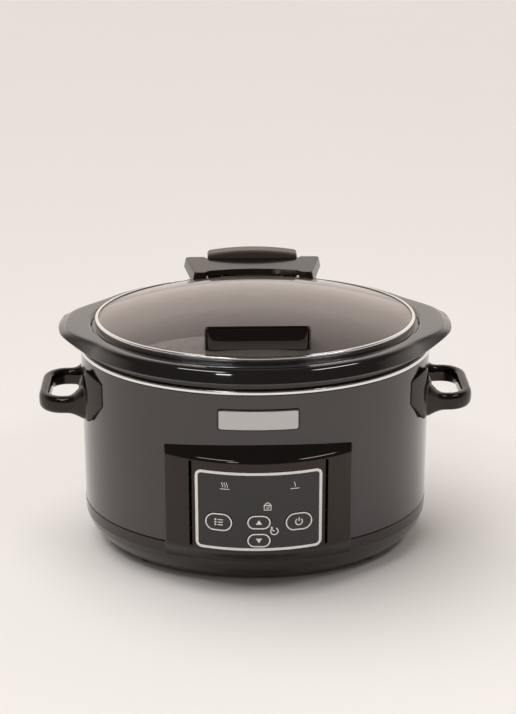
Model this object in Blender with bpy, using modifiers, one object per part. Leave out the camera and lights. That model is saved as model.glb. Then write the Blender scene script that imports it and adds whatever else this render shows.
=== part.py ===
"""Oval slow cooker with a hinged glass lid, as separate parts in one frame.

Units are metres, +Z is up and the front (the control panel) faces -Y.  The plan
of the body is an ellipse; most shells are given as an offset from that ellipse
and a height.  The origin is the middle of the footprint, at floor level.
"""
import math

import bmesh
import bpy
from mathutils import Matrix, Vector

MM = 0.001

# Body ellipse and the heights that everything else follows
BODY_A = 157.0 * MM
BODY_B = 125.6 * MM
BODY_CENTRE_Y = -5.8 * MM
GAP = 0.3 * MM
SCREW_HOLE_R = 2.3 * MM
SEAM_Z = 40.7 * MM
SHELL_TOP_Z = 183.6 * MM
SHELL_WALL = 1.0 * MM
CROCK_SEAT_Z = 193.9 * MM

# Feet and their screws
FOOT_ANGLE = math.radians(40.0)
FOOT_OFFSET = -30.0 * MM
COVER_BOTTOM_Z = 5.0 * MM
COVER_TOP_Z = 6.3 * MM

# Ears of the crock
EAR_REACH = 12.4 * MM
EAR_FLAT_Y = 24.0 * MM
EAR_END_Y = 64.0 * MM
EAR_RISE = 8.6 * MM

# Lid
LID_OFFSET = -15.0 * MM
LID_EDGE_Z = 210.6 * MM
DOME_RISE = 23.0 * MM
GLASS_THICK = 4.0 * MM
HANDLE_HALF_W = 45.0 * MM
LID_HANDLE_SCREW = (28.0 * MM, -90.0 * MM)
BRACKET_SCREW = (48.0 * MM, 92.0 * MM)

# Hinge: the pin drops into two open-topped ears of the tower
HINGE_Y = 143.0 * MM
HINGE_Z = 212.0 * MM
HINGE_HALF_W = 43.3 * MM
HINGE_EAR_X = 30.0 * MM
TOWER_SCREW = (25.0 * MM, 150.0 * MM)
KNUCKLE_R = 7.5 * MM
BLOCK_LOW_Z = 218.2 * MM
BLOCK_TOP_Z = 229.5 * MM
BLOCK_HALF_T = 9.0 * MM
PIN_R = 2.5 * MM

# Side handles
SIDE_HANDLE_Z = 140.0 * MM
SIDE_HANDLE_REACH = 195.0 * MM
SIDE_HANDLE_HALF_W = 41.0 * MM
SIDE_HANDLE_HALF_H = 8.0 * MM
SIDE_HANDLE_CORNER = 22.0 * MM
SIDE_HANDLE_BAR = 10.0 * MM
SIDE_SCREW_Y = 35.5 * MM
RIDGE_Y = 46.0 * MM
ESCUTCHEON_Z = (128.0 * MM, 177.0 * MM)
ESCUTCHEON_HALF_W = 65.0 * MM

# Control panel
PANEL_HALF_W = 81.0 * MM
PANEL_FRONT_Y = -140.0 * MM
PANEL_FACE_R = 143.7 * MM
PANEL_WALL = 3.2 * MM
LENS_HALF_W = 54.2 * MM
LENS_Z = (46.0 * MM, 119.0 * MM)
LENS_CORNER = 8.0 * MM
LENS_THICK = 1.2 * MM
SLOT_X = 58.2 * MM
SLOT_HALF_W = 1.5 * MM
KEY_PROUD = 0.4 * MM
KEY_DEPTH = 4.0 * MM
KEY_TRAVEL = 0.8 * MM
KEYS = {
    "button_menu": (-34.2 * MM, 72.0 * MM, 24.3 * MM, 17.0 * MM),
    "button_power": (34.2 * MM, 72.0 * MM, 24.3 * MM, 17.0 * MM),
    "button_up": (0.0 * MM, 73.0 * MM, 20.6 * MM, 13.5 * MM),
    "button_down": (0.0 * MM, 56.0 * MM, 20.6 * MM, 13.5 * MM),
}
BOARD_FRONT_Y = -128.2 * MM
BOARD_BACK_Y = -126.6 * MM

OVAL_SEGMENTS = 36
CROCK_SEGMENTS = 48
ROUND_STEPS = 12

for old in list(bpy.data.objects):
    bpy.data.objects.remove(old, do_unlink=True)

parts = bpy.data.collections.new("slow_cooker")
cutters = bpy.data.collections.new("cutters")
bpy.context.scene.collection.children.link(parts)
bpy.context.scene.collection.children.link(cutters)


# ---------------------------------------------------------------- materials
def make_material(name, colour, roughness, metallic=0.0, alpha=1.0):
    material = bpy.data.materials.new(name)
    material.use_nodes = True
    shader = material.node_tree.nodes["Principled BSDF"]
    shader.inputs["Base Color"].default_value = (*colour, 1.0)
    shader.inputs["Roughness"].default_value = roughness
    shader.inputs["Metallic"].default_value = metallic
    shader.inputs["Alpha"].default_value = alpha
    return material


BLACK_PLASTIC = make_material("gloss_black_plastic", (0.012, 0.011, 0.011), 0.15)
CHARCOAL = make_material("charcoal_paint", (0.065, 0.055, 0.054), 0.35, 0.6)
BRIGHT_STEEL = make_material("bright_steel", (0.70, 0.69, 0.67), 0.18, 1.0)
PLATED_STEEL = make_material("plated_steel", (0.55, 0.55, 0.54), 0.35, 1.0)
STONEWARE = make_material("black_stoneware", (0.014, 0.012, 0.012), 0.08)
CLEAR_GLASS = make_material("clear_glass", (0.85, 0.88, 0.87), 0.02, 0.0, 0.25)
LENS_BLACK = make_material("lens_black", (0.010, 0.009, 0.009), 0.06)
BADGE_SILVER = make_material("badge_silver", (0.60, 0.58, 0.56), 0.3, 1.0)
RUBBER = make_material("foot_rubber", (0.02, 0.02, 0.02), 0.8)
COVER_STEEL = make_material("cover_steel", (0.04, 0.04, 0.04), 0.5, 0.5)
LINER_METAL = make_material("liner_metal", (0.50, 0.50, 0.49), 0.4, 1.0)
HEATER_CLOTH = make_material("heater_cloth", (0.75, 0.72, 0.62), 0.9)
SHIELD_FOIL = make_material("shield_foil", (0.75, 0.75, 0.74), 0.25, 1.0)
BOARD_GREEN = make_material("board_green", (0.02, 0.14, 0.05), 0.5)
DARK_PLASTIC = make_material("dark_plastic", (0.03, 0.03, 0.03), 0.5)
WIRE_SLEEVE = make_material("wire_sleeve", (0.30, 0.28, 0.25), 0.6)


# ------------------------------------------------------------------ helpers
def make_empty(name, location):
    empty = bpy.data.objects.new(name, None)
    empty.location = location
    parts.objects.link(empty)
    return empty


COOKER = make_empty("cooker_axis", (0.0, BODY_CENTRE_Y, 0.0))
CROCK_AXIS = make_empty("crock_lift_axis", (0.0, BODY_CENTRE_Y, CROCK_SEAT_Z))
LIFT_AXIS = make_empty("lid_lift_axis", (0.0, BODY_CENTRE_Y + HINGE_Y, HINGE_Z))
LID_AXIS = make_empty("lid_hinge_axis", (0.0, BODY_CENTRE_Y + HINGE_Y, HINGE_Z))


def place(obj, material, parent=COOKER, sharp=35.0):
    """Put a part in the model, its coordinates kept in the cooker's frame."""
    parts.objects.link(obj)
    obj.data.materials.clear()
    obj.data.materials.append(material)
    obj.data.shade_smooth()
    obj.data.set_sharp_from_angle(angle=math.radians(sharp))
    obj.parent = parent
    to_parent = Vector((0.0, BODY_CENTRE_Y, 0.0)) - parent.location
    obj.matrix_parent_inverse = Matrix.Translation(to_parent)
    return obj


def hide_as_cutter(obj):
    cutters.objects.link(obj)
    obj.hide_render = True
    obj.display_type = "WIRE"
    obj.parent = COOKER
    return obj


def combine(obj, other, operation):
    modifier = obj.modifiers.new(other.name, "BOOLEAN")
    modifier.operation = operation
    modifier.object = other
    modifier.solver = "EXACT"
    return modifier


def cut(obj, cutter):
    return combine(obj, cutter, "DIFFERENCE")


def join(obj, other):
    return combine(obj, other, "UNION")


def add_bevel(obj, width, segments=2, angle=30.0):
    bevel = obj.modifiers.new("edges", "BEVEL")
    bevel.width = width
    bevel.segments = segments
    bevel.limit_method = "ANGLE"
    bevel.angle_limit = math.radians(angle)
    return bevel


def object_from_bmesh(name, bm):
    bmesh.ops.recalc_face_normals(bm, faces=bm.faces)
    mesh = bpy.data.meshes.new(name)
    bm.to_mesh(mesh)
    bm.free()
    return bpy.data.objects.new(name, mesh)


def loft(name, sections, ring=False):
    """Closed skin over equal sections; a ring joins its last section to its first."""
    bm = bmesh.new()
    loops = [[bm.verts.new(point) for point in section] for section in sections]
    pairs = list(zip(loops, loops[1:]))
    if ring:
        pairs.append((loops[-1], loops[0]))
    for near, far in pairs:
        for i in range(len(near)):
            j = (i + 1) % len(near)
            bm.faces.new((near[i], near[j], far[j], far[i]))
    if not ring:
        bm.faces.new(loops[0])
        bm.faces.new(loops[-1])
    return object_from_bmesh(name, bm)


def oval_point(offset, angle, z):
    return Vector(((BODY_A + offset) * math.cos(angle), (BODY_B + offset) * math.sin(angle), z))


def oval_cup(name, profile, segments=OVAL_SEGMENTS):
    """Solid whose (offset, height) profile starts and ends on flat oval faces."""
    turn = [math.tau * i / segments for i in range(segments)]
    return loft(name, [[oval_point(o, a, z) for a in turn] for o, z in profile])


def oval_hoop(name, profile, segments=OVAL_SEGMENTS):
    """Hoop with a closed (offset, height) profile, right round the oval."""
    turn = [math.tau * i / segments for i in range(segments)]
    return loft(name, [[oval_point(o, a, z) for o, z in profile] for a in turn], ring=True)


def oval_strip(name, profile_at, start, end, segments):
    """Strip along part of the oval; profile_at(angle) gives its closed profile."""
    angles = [start + (end - start) * i / segments for i in range(segments + 1)]
    return loft(name, [[oval_point(o, a, z) for o, z in profile_at(a)] for a in angles])


def scaled_rings(base_a, base_b, steps, segments=OVAL_SEGMENTS):
    """Similar ovals: each step is (scale, height)."""
    turn = [math.tau * i / segments for i in range(segments)]
    return [[(base_a * s * math.cos(a), base_b * s * math.sin(a), z) for a in turn] for s, z in steps]


def box(name, low, high):
    bm = bmesh.new()
    bmesh.ops.create_cube(bm, size=1.0)
    low, high = Vector(low), Vector(high)
    size = high - low
    bmesh.ops.scale(bm, vec=size, verts=bm.verts)
    bmesh.ops.translate(bm, vec=(low + high) / 2.0, verts=bm.verts)
    return object_from_bmesh(name, bm)


def rod(name, radius, start, end, segments=ROUND_STEPS):
    """Cylinder between two points."""
    start, end = Vector(start), Vector(end)
    turn = (end - start).to_track_quat("Z", "Y").to_matrix().to_4x4()
    bm = bmesh.new()
    bmesh.ops.create_cone(
        bm, cap_ends=True, segments=segments, radius1=radius, radius2=radius,
        depth=(end - start).length)
    bmesh.ops.transform(bm, matrix=Matrix.Translation((start + end) / 2.0) @ turn, verts=bm.verts)
    return object_from_bmesh(name, bm)


def turned(name, profile, steps=ROUND_STEPS):
    """Turned piece: (radius, height) down its outer side, spun by a Screw modifier."""
    mesh = bpy.data.meshes.new(name)
    points = [(radius, 0.0, z) for radius, z in profile]
    mesh.from_pydata(points, [(i, i + 1) for i in range(len(points) - 1)], [])
    obj = bpy.data.objects.new(name, mesh)
    screw = obj.modifiers.new("turn", "SCREW")
    screw.axis = "Z"
    screw.steps = steps
    screw.render_steps = steps
    screw.use_merge_vertices = True
    screw.merge_threshold = 0.00001
    return obj


def outline_solid(name, outlines, depth):
    """Flat closed outlines (the second is a hole), drawn thick by depth along Z."""
    curve = bpy.data.curves.new(name, "CURVE")
    curve.dimensions = "2D"
    curve.fill_mode = "BOTH"
    curve.extrude = depth / 2.0
    for outline in outlines:
        spline = curve.splines.new("POLY")
        spline.points.add(len(outline) - 1)
        for point, (x, y) in zip(spline.points, outline):
            point.co = (x, y, 0.0, 1.0)
        spline.use_cyclic_u = True
    return welded(name, curve)


def wire(name, points, radius):
    """Lead or spring wire through its points."""
    curve = bpy.data.curves.new(name, "CURVE")
    curve.dimensions = "3D"
    curve.bevel_depth = radius
    curve.bevel_resolution = 0
    curve.use_fill_caps = True
    spline = curve.splines.new("POLY")
    spline.points.add(len(points) - 1)
    for point, place_at in zip(spline.points, points):
        point.co = (*place_at, 1.0)
    return welded(name, curve)


def welded(name, curve):
    """Mesh object made from a curve, with its loose caps welded on."""
    guide = bpy.data.objects.new(name + "_curve", curve)
    cutters.objects.link(guide)
    graph = bpy.context.evaluated_depsgraph_get()
    mesh = bpy.data.meshes.new_from_object(guide.evaluated_get(graph))
    bm = bmesh.new()
    bm.from_mesh(mesh)
    bmesh.ops.remove_doubles(bm, verts=bm.verts, dist=0.00001)
    obj = object_from_bmesh(name, bm)
    bpy.data.objects.remove(guide, do_unlink=True)
    bpy.data.meshes.remove(mesh)
    return obj


def arc(centre, radius, start, end, steps):
    """Points of an arc, angles in degrees."""
    angles = [math.radians(start + (end - start) * i / steps) for i in range(steps + 1)]
    return [(centre[0] + radius * math.cos(a), centre[1] + radius * math.sin(a)) for a in angles]


def pill_outline(width, height, grow=0.0, steps=4):
    radius = height / 2.0 + grow
    reach = (width - height) / 2.0
    return arc((reach, 0.0), radius, -90, 90, steps) + arc((-reach, 0.0), radius, 90, 270, steps)


def screw_profile(length, head):
    """Outline of a plain screw whose head is under its origin."""
    shank_r, head_r = 2.0 * MM, 4.0 * MM
    return [(0.0, length), (shank_r, length), (shank_r, 0.0), (head_r, 0.0), (head_r, -head), (0.0, -head)]


def smooth_step(value):
    value = min(1.0, max(0.0, value))
    return value * value * (3.0 - 2.0 * value)


# ---------------------------------------------------------- base and its feet
def foot_positions():
    for side, angle in enumerate((-FOOT_ANGLE, FOOT_ANGLE, math.pi - FOOT_ANGLE, math.pi + FOOT_ANGLE)):
        spot = oval_point(FOOT_OFFSET, angle, 0.0)
        name = ("front_right", "rear_right", "rear_left", "front_left")[side]
        yield name, spot


def make_base():
    """Moulded base: a curved skirt, a flange for the cover and a spigot inside the shell."""
    outer = [(-19.5, 4.9), (-17.0, 4.9), (-10.0, 11.0), (-3.4, 19.5), (0.0, 28.5), (0.0, 40.4)]
    spigot = [(-1.3, 40.4), (-1.3, 48.0), (-3.6, 48.0)]
    inner = [(-3.6, 29.0), (-7.4, 20.4), (-13.6, 12.4), (-20.5, 8.6)]
    flange = [(-38.0, 8.6), (-38.0, 6.6), (-19.5, 6.6)]
    profile = [(o * MM, z * MM) for o, z in outer + spigot + inner + flange]
    base = place(oval_hoop("base_housing", profile), BLACK_PLASTIC)
    for name, spot in foot_positions():
        boss = rod("boss_" + name, 5.5 * MM, spot + Vector((0, 0, 7.5 * MM)), spot + Vector((0, 0, 20 * MM)))
        join(base, hide_as_cutter(boss))
        hole = rod("hole_" + name, SCREW_HOLE_R, spot, spot + Vector((0, 0, 18 * MM)))
        cut(base, hide_as_cutter(hole))
    gland_hole = rod("gland_hole", 5.0 * MM, (0, 115 * MM, 34 * MM), (0, 130 * MM, 34 * MM))
    cut(base, hide_as_cutter(gland_hole))
    return base


def make_cover():
    profile = [(-19.9 * MM, COVER_BOTTOM_Z), (-19.9 * MM, COVER_TOP_Z)]
    cover = place(oval_cup("bottom_cover", profile), COVER_STEEL)
    for name, spot in foot_positions():
        hole = rod("cover_hole_" + name, SCREW_HOLE_R, spot, spot + Vector((0, 0, 9 * MM)))
        cut(cover, hide_as_cutter(hole))
    return cover


def make_feet():
    """Rubber feet, each held by a screw sunk in it."""
    foot_profile = [(2.4, 4.7), (9.0, 4.7), (8.2, 0.0), (4.6, 0.0), (4.6, 2.6), (2.4, 2.6)]
    screw_profile = [(0.0, 17.0), (2.0, 17.0), (2.0, 2.2), (4.0, 2.2), (4.0, 1.2), (3.4, 0.6), (0.0, 0.6)]
    for name, spot in foot_positions():
        closed = foot_profile + foot_profile[:1]
        foot = turned("foot_" + name, [(r * MM, z * MM) for r, z in closed], 16)
        place(foot, RUBBER)
        foot.location = spot
        screw = turned("foot_screw_" + name, [(r * MM, z * MM) for r, z in screw_profile], 12)
        place(screw, PLATED_STEEL)
        screw.location = spot


# ------------------------------------------------------------- shell and trim
def make_shell():
    wall = SHELL_WALL
    profile = [
        (0.0, SEAM_Z), (0.0, SHELL_TOP_Z), (-9.0 * MM, SHELL_TOP_Z),
        (-9.0 * MM, SHELL_TOP_Z - wall), (-wall, SHELL_TOP_Z - wall), (-wall, SEAM_Z)]
    shell = place(oval_hoop("outer_shell", profile), CHARCOAL)
    for side in (-1, 1):
        for end in (-1, 1):
            spot = Vector((side * BODY_A, end * SIDE_SCREW_Y, SIDE_HANDLE_Z))
            inside = Vector((side * 17 * MM, 0.0, 0.0))
            cut(shell, hide_as_cutter(rod(f"shell_hole_{side}_{end}", SCREW_HOLE_R, spot - inside, spot)))
        x, z = side * TOWER_SCREW[0], TOWER_SCREW[1]
        cut(shell, hide_as_cutter(rod(f"tower_hole_{side}", SCREW_HOLE_R, (x, 115 * MM, z), (x, 130 * MM, z))))
    window = box("harness_window", (46 * MM, -126 * MM, 74 * MM), (54 * MM, -112 * MM, 88 * MM))
    cut(shell, hide_as_cutter(window))
    return shell


def make_trim():
    profile = [(0.4, 184.6), (0.4, 186.2), (-0.4, 187.1), (-2.0, 187.1), (-2.2, 183.9), (-0.3, 183.9)]
    return place(oval_hoop("trim_ring", [(o * MM, z * MM) for o, z in profile]), BRIGHT_STEEL)


def make_badge():
    """Thin plate bent to the shell, with round corners."""
    half_w, low, high, corner = 35.0 * MM, 152.0 * MM, 170.5 * MM, 2.5 * MM

    def profile_at(angle):
        x = (BODY_A + GAP) * math.cos(angle)
        into_corner = max(0.0, abs(x) - (half_w - corner))
        drop = corner - math.sqrt(max(0.0, corner ** 2 - into_corner ** 2))
        return [(GAP, low + drop), (1.4 * MM, low + drop), (1.4 * MM, high - drop), (GAP, high - drop)]

    spread = math.asin((half_w - 0.05 * MM) / (BODY_A + GAP))
    front = -math.pi / 2
    return place(oval_strip("badge_plate", profile_at, front - spread, front + spread, 18), BADGE_SILVER)


# ------------------------------------------------------------ heating section
def make_liner():
    """Metal well that the crock stands in; its collar carries the crock's rim."""
    inside = [(-31.0, 62.5), (-24.0, 68.0), (-18.4, 88.0), (-16.4, 186.0), (-16.4, 193.9)]
    over = [(-2.6, 193.9), (-2.6, 183.9), (-3.6, 183.9), (-3.6, 192.9), (-15.4, 192.9)]
    outside = [(-15.4, 186.0), (-17.4, 88.2), (-23.1, 67.6), (-30.5, 61.4)]
    profile = [(o * MM, z * MM) for o, z in inside + over + outside]
    return place(oval_cup("heating_liner", profile), LINER_METAL)


def make_heater():
    """Heater band round the liner, open at the front, pulled tight by a spring."""
    def profile_at(angle):
        return [(o * MM, z * MM) for o, z in ((-16.8, 95), (-14.8, 95), (-13.7, 150), (-15.7, 150))]

    opening = math.radians(6.5)
    band = oval_strip("heater_band", profile_at, -math.pi / 2 + opening, 1.5 * math.pi - opening, 42)
    place(band, HEATER_CLOTH)
    turns, per_turn, coil_r, half = 5, 6, 2.2 * MM, 11.0 * MM
    count = turns * per_turn
    points = []
    for i in range(count + 1):
        angle = math.tau * i / per_turn
        across = -half + 2 * half * i / count
        points.append((across, -113.2 * MM + coil_r * math.cos(angle), 122 * MM + coil_r * math.sin(angle)))
    place(wire("band_spring", points, 0.4 * MM), PLATED_STEEL)
    fuse = rod("thermal_fuse", 2.2 * MM, (-8 * MM, 115 * MM, 120 * MM), (8 * MM, 115 * MM, 120 * MM))
    place(fuse, BRIGHT_STEEL)


def make_heat_shield():
    profile = [(-6.6, 66.0), (-6.0, 66.0), (-6.0, 175.0), (-6.6, 175.0)]
    return place(oval_hoop("heat_shield", [(o * MM, z * MM) for o, z in profile]), SHIELD_FOIL)


def make_sensor():
    """Temperature sensor pressed against the liner's floor by a coil spring."""
    cup = [(0.0, 61.0), (8.0, 61.0), (8.0, 56.0), (10.0, 54.0), (10.0, 52.5), (0.0, 52.5)]
    place(turned("sensor_cup", [(r * MM, z * MM) for r, z in cup]), BRIGHT_STEEL)
    turns, per_turn, radius = 4, 8, 6.0 * MM
    low, high = 30.6 * MM, 51.6 * MM
    count = turns * per_turn
    points = []
    for i in range(count + 1):
        angle = math.tau * i / per_turn
        points.append((radius * math.cos(angle), radius * math.sin(angle), low + (high - low) * i / count))
    place(wire("sensor_spring", points, 0.5 * MM), PLATED_STEEL)


# --------------------------------------------------------------------- crock
def ear_outline(point, share):
    """Push a rim point out along X where the ears are; share is 1 on the rim's outside."""
    reach = smooth_step((EAR_END_Y - abs(point.y)) / (EAR_END_Y - EAR_FLAT_Y))
    push = math.copysign(EAR_REACH * reach * share, point.x)
    return Vector((point.x + push, point.y, point.z)), reach


def make_crock():
    """Stoneware crock: a wall, a thick rim with two ears, and a seat for the lid."""
    outside = [(-36.0, 64.5), (-27.5, 69.5), (-21.0, 90.0), (-18.6, 190.0), (-18.6, 194.2)]
    rim = [(5.6, 194.3), (6.9, 195.2), (2.0, 205.6), (0.6, 206.8)]
    seat = [(-8.0, 207.0), (-9.0, 206.4), (-11.2, 203.5), (-20.0, 203.5), (-22.4, 201.0)]
    inside = [(-24.2, 195.0), (-27.5, 92.0), (-33.0, 76.0), (-46.0, 71.5)]
    turn = [math.tau * i / CROCK_SEGMENTS for i in range(CROCK_SEGMENTS)]
    sections = []
    for group, share in ((outside, 0.0), (rim, 1.0), (seat, 0.0), (inside, 0.0)):
        for index, (offset, z) in enumerate(group):
            ring = []
            for angle in turn:
                point, reach = ear_outline(oval_point(offset * MM, angle, z * MM), share)
                if share and index < 2:
                    point.z += EAR_RISE * reach
                ring.append(point)
            sections.append(ring)
    return place(loft("crock", sections), STONEWARE, CROCK_AXIS)


# ----------------------------------------------------------------------- lid
def dome_height(scale, lift=0.0):
    return LID_EDGE_Z + DOME_RISE * (1.0 - scale ** 2) + lift


def lid_axes():
    return BODY_A + LID_OFFSET, BODY_B + LID_OFFSET


def dome_cutter(name):
    """Everything under the dome and its clearance, taken out of what stands on the glass."""
    base_a, base_b = lid_axes()
    scales = [1.0, 0.9, 0.74, 0.5, 0.16]
    steps = [(1.0, 0.18)] + [(s, dome_height(s, GAP + 0.1 * MM)) for s in scales]
    return hide_as_cutter(loft(name, scaled_rings(base_a, base_b, steps)))


def screw_spots():
    for side, word in ((-1, "left"), (1, "right")):
        yield "lid_handle_screw_" + word, (side * LID_HANDLE_SCREW[0], LID_HANDLE_SCREW[1])
        yield "bracket_screw_" + word, (side * BRACKET_SCREW[0], BRACKET_SCREW[1])


def glass_top_at(x, y):
    base_a, base_b = lid_axes()
    return dome_height(math.hypot(x / base_a, y / base_b))


def make_glass():
    base_a, base_b = lid_axes()
    scales = [1.0, 0.9, 0.74, 0.5, 0.16]
    upper = [(s, dome_height(s)) for s in scales]
    lower = [(s * 0.994, dome_height(s, -GLASS_THICK)) for s in reversed(scales)]
    glass = place(loft("lid_glass", scaled_rings(base_a, base_b, lower + upper)), CLEAR_GLASS, LID_AXIS)
    for name, (x, y) in screw_spots():
        cut(glass, hide_as_cutter(rod("glass_hole_" + name, 3.0 * MM, (x, y, 190 * MM), (x, y, 240 * MM))))
    return glass


def make_lid_rim():
    profile = [
        (-13.5, 203.9), (-13.5, 211.5), (-14.1, 212.1), (-16.4, 212.1), (-16.4, 211.4),
        (-14.7, 211.2), (-14.7, 206.1), (-18.5, 206.1), (-18.5, 203.9)]
    return place(oval_hoop("lid_rim", [(o * MM, z * MM) for o, z in profile]), BRIGHT_STEEL, LID_AXIS)


def make_lid_handle():
    """Bar on two screws, hollowed behind for the fingers."""
    side = [
        (-97.5, 208), (-97.5, 230.5), (-94.5, 234.2), (-91.5, 234.4), (-82, 230.6),
        (-80, 228.6), (-80, 226.4), (-85, 222), (-85, 208)]
    ends = [[(x, y * MM, z * MM) for y, z in side] for x in (-HANDLE_HALF_W, HANDLE_HALF_W)]
    handle = place(loft("lid_handle", ends), BLACK_PLASTIC, LID_AXIS)
    add_bevel(handle, 1.6 * MM)
    cut(handle, dome_cutter("dome_under_handle"))
    for word, side_sign in (("left", -1), ("right", 1)):
        x, y = side_sign * LID_HANDLE_SCREW[0], LID_HANDLE_SCREW[1]
        cut(handle, hide_as_cutter(rod("handle_hole_" + word, 2.1 * MM, (x, y, 200 * MM), (x, y, 227.5 * MM))))
    return handle


def make_lid_screws():
    for name, (x, y) in screw_spots():
        under = glass_top_at(x, y) - GLASS_THICK - 2.2 * MM
        reach = 9.5 * MM if name.startswith("bracket") else 13.0 * MM
        top = under + reach
        profile = [
            (0.0, top), (1.8 * MM, top), (1.8 * MM, under), (4.0 * MM, under),
            (4.0 * MM, under - 1.6 * MM), (3.2 * MM, under - 2.4 * MM), (0.0, under - 2.4 * MM)]
        screw = place(turned(name, profile, 12), PLATED_STEEL, LID_AXIS)
        screw.location = (x, y, 0.0)


def make_bracket():
    """Hinge bracket: a waisted plate on two feet, with wings that reach back beside the block."""
    half = [
        (20, 97.5), (43, 93), (46, 88), (56, 88), (63.5, 130), (60, 138.5), (48, 138.5), (44.5, 133.7)]
    right = [(x * MM, y * MM) for x, y in half]
    left = [(-x, y) for x, y in reversed(right)]
    low, high = 212.7 * MM, 222.3 * MM
    bracket = outline_solid("lid_bracket", [right + left], high - low)
    for vertex in bracket.data.vertices:
        vertex.co.z += (low + high) / 2.0
    place(bracket, BLACK_PLASTIC, LID_AXIS)
    for word, side in (("left", -1), ("right", 1)):
        x, y = side * BRACKET_SCREW[0], BRACKET_SCREW[1]
        cut(bracket, hide_as_cutter(rod("bracket_hole_" + word, 2.1 * MM, (x, y, 200 * MM), (x, y, 220.5 * MM))))
    cut(bracket, dome_cutter("dome_under_bracket"))
    return bracket


# --------------------------------------------------------------------- hinge
def side_solid(name, outline, half_width):
    """Solid with a (y, z) outline, drawn across from -half_width to half_width."""
    return loft(name, [[(x, y, z) for y, z in outline] for x in (-half_width, half_width)])


def shell_clearance(name, offset, low, high):
    return hide_as_cutter(oval_cup(name, [(offset, low), (offset, high)], 72))


def make_hinge_tower():
    """Tower on the back of the shell; its two ears hold the hinge pin and are open at the top."""
    points = [
        (112, 100), (134, 100), (146, 110), (152, 126), (152, 186), (147.5, 194), (147.5, 215.8), (138.5, 215.8),
        (138.5, 203.5), (133.4, 203.5), (133.4, 192), (112, 192)]
    tower = side_solid("hinge_tower", [(y * MM, z * MM) for y, z in points], HINGE_HALF_W)
    place(tower, BLACK_PLASTIC)
    cut(tower, shell_clearance("shell_at_tower", 0.75 * MM, 80 * MM, 200 * MM))
    over_top = 225 * MM
    between = box("between_ears", (-HINGE_EAR_X, 130 * MM, 203.5 * MM), (HINGE_EAR_X, 155 * MM, over_top))
    cut(tower, hide_as_cutter(between))
    across, slack = HINGE_HALF_W + 7.7 * MM, PIN_R + GAP
    seat = rod("pin_seat", slack, (-across, HINGE_Y, HINGE_Z), (across, HINGE_Y, HINGE_Z), 16)
    mouth = box("pin_mouth", (-across, HINGE_Y - slack, HINGE_Z), (across, HINGE_Y + slack, over_top))
    cut(tower, hide_as_cutter(seat))
    cut(tower, hide_as_cutter(mouth))
    for side, word in ((-1, "left"), (1, "right")):
        x, z = side * TOWER_SCREW[0], TOWER_SCREW[1]
        bore = rod("tower_bore_" + word, SCREW_HOLE_R, (x, 115 * MM, z), (x, 138.5 * MM, z))
        cut(tower, hide_as_cutter(bore))
        screw = turned("tower_screw_" + word, screw_profile(16.0 * MM, 2.0 * MM))
        place(screw, PLATED_STEEL)
        screw.location = (x, 122.0 * MM, z)
        screw.rotation_euler = (-math.pi / 2, 0.0, 0.0)


def make_hinge_block():
    """Block behind the bracket: a slab on a knuckle that turns on the pin between the tower's ears."""
    front, back = HINGE_Y - BLOCK_HALF_T, HINGE_Y + BLOCK_HALF_T
    round_r = 3.0 * MM
    over = arc((back - round_r, BLOCK_TOP_Z - round_r), round_r, 0, 90, 3)
    over += arc((front + round_r, BLOCK_TOP_Z - round_r), round_r, 90, 180, 3)
    outline = [(front, BLOCK_LOW_Z), (back, BLOCK_LOW_Z)] + over
    block = place(side_solid("hinge_block", outline, HINGE_HALF_W), BLACK_PLASTIC, LID_AXIS)
    knuckle_half = HINGE_EAR_X - 0.5 * MM
    knuckle = rod("knuckle", KNUCKLE_R, (-knuckle_half, HINGE_Y, HINGE_Z), (knuckle_half, HINGE_Y, HINGE_Z), 20)
    neck = box("neck", (-knuckle_half, HINGE_Y - 5 * MM, HINGE_Z),
               (knuckle_half, HINGE_Y + 5 * MM, BLOCK_LOW_Z + 3 * MM))
    join(block, hide_as_cutter(neck))
    join(block, hide_as_cutter(knuckle))
    bore = rod("block_bore", PIN_R + GAP, (-HINGE_HALF_W, HINGE_Y, HINGE_Z), (HINGE_HALF_W, HINGE_Y, HINGE_Z))
    cut(block, hide_as_cutter(bore))
    pin_half = HINGE_HALF_W - 0.8 * MM
    pin = rod("hinge_pin", PIN_R, (-pin_half, HINGE_Y, HINGE_Z), (pin_half, HINGE_Y, HINGE_Z))
    place(pin, PLATED_STEEL, LIFT_AXIS)


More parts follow.
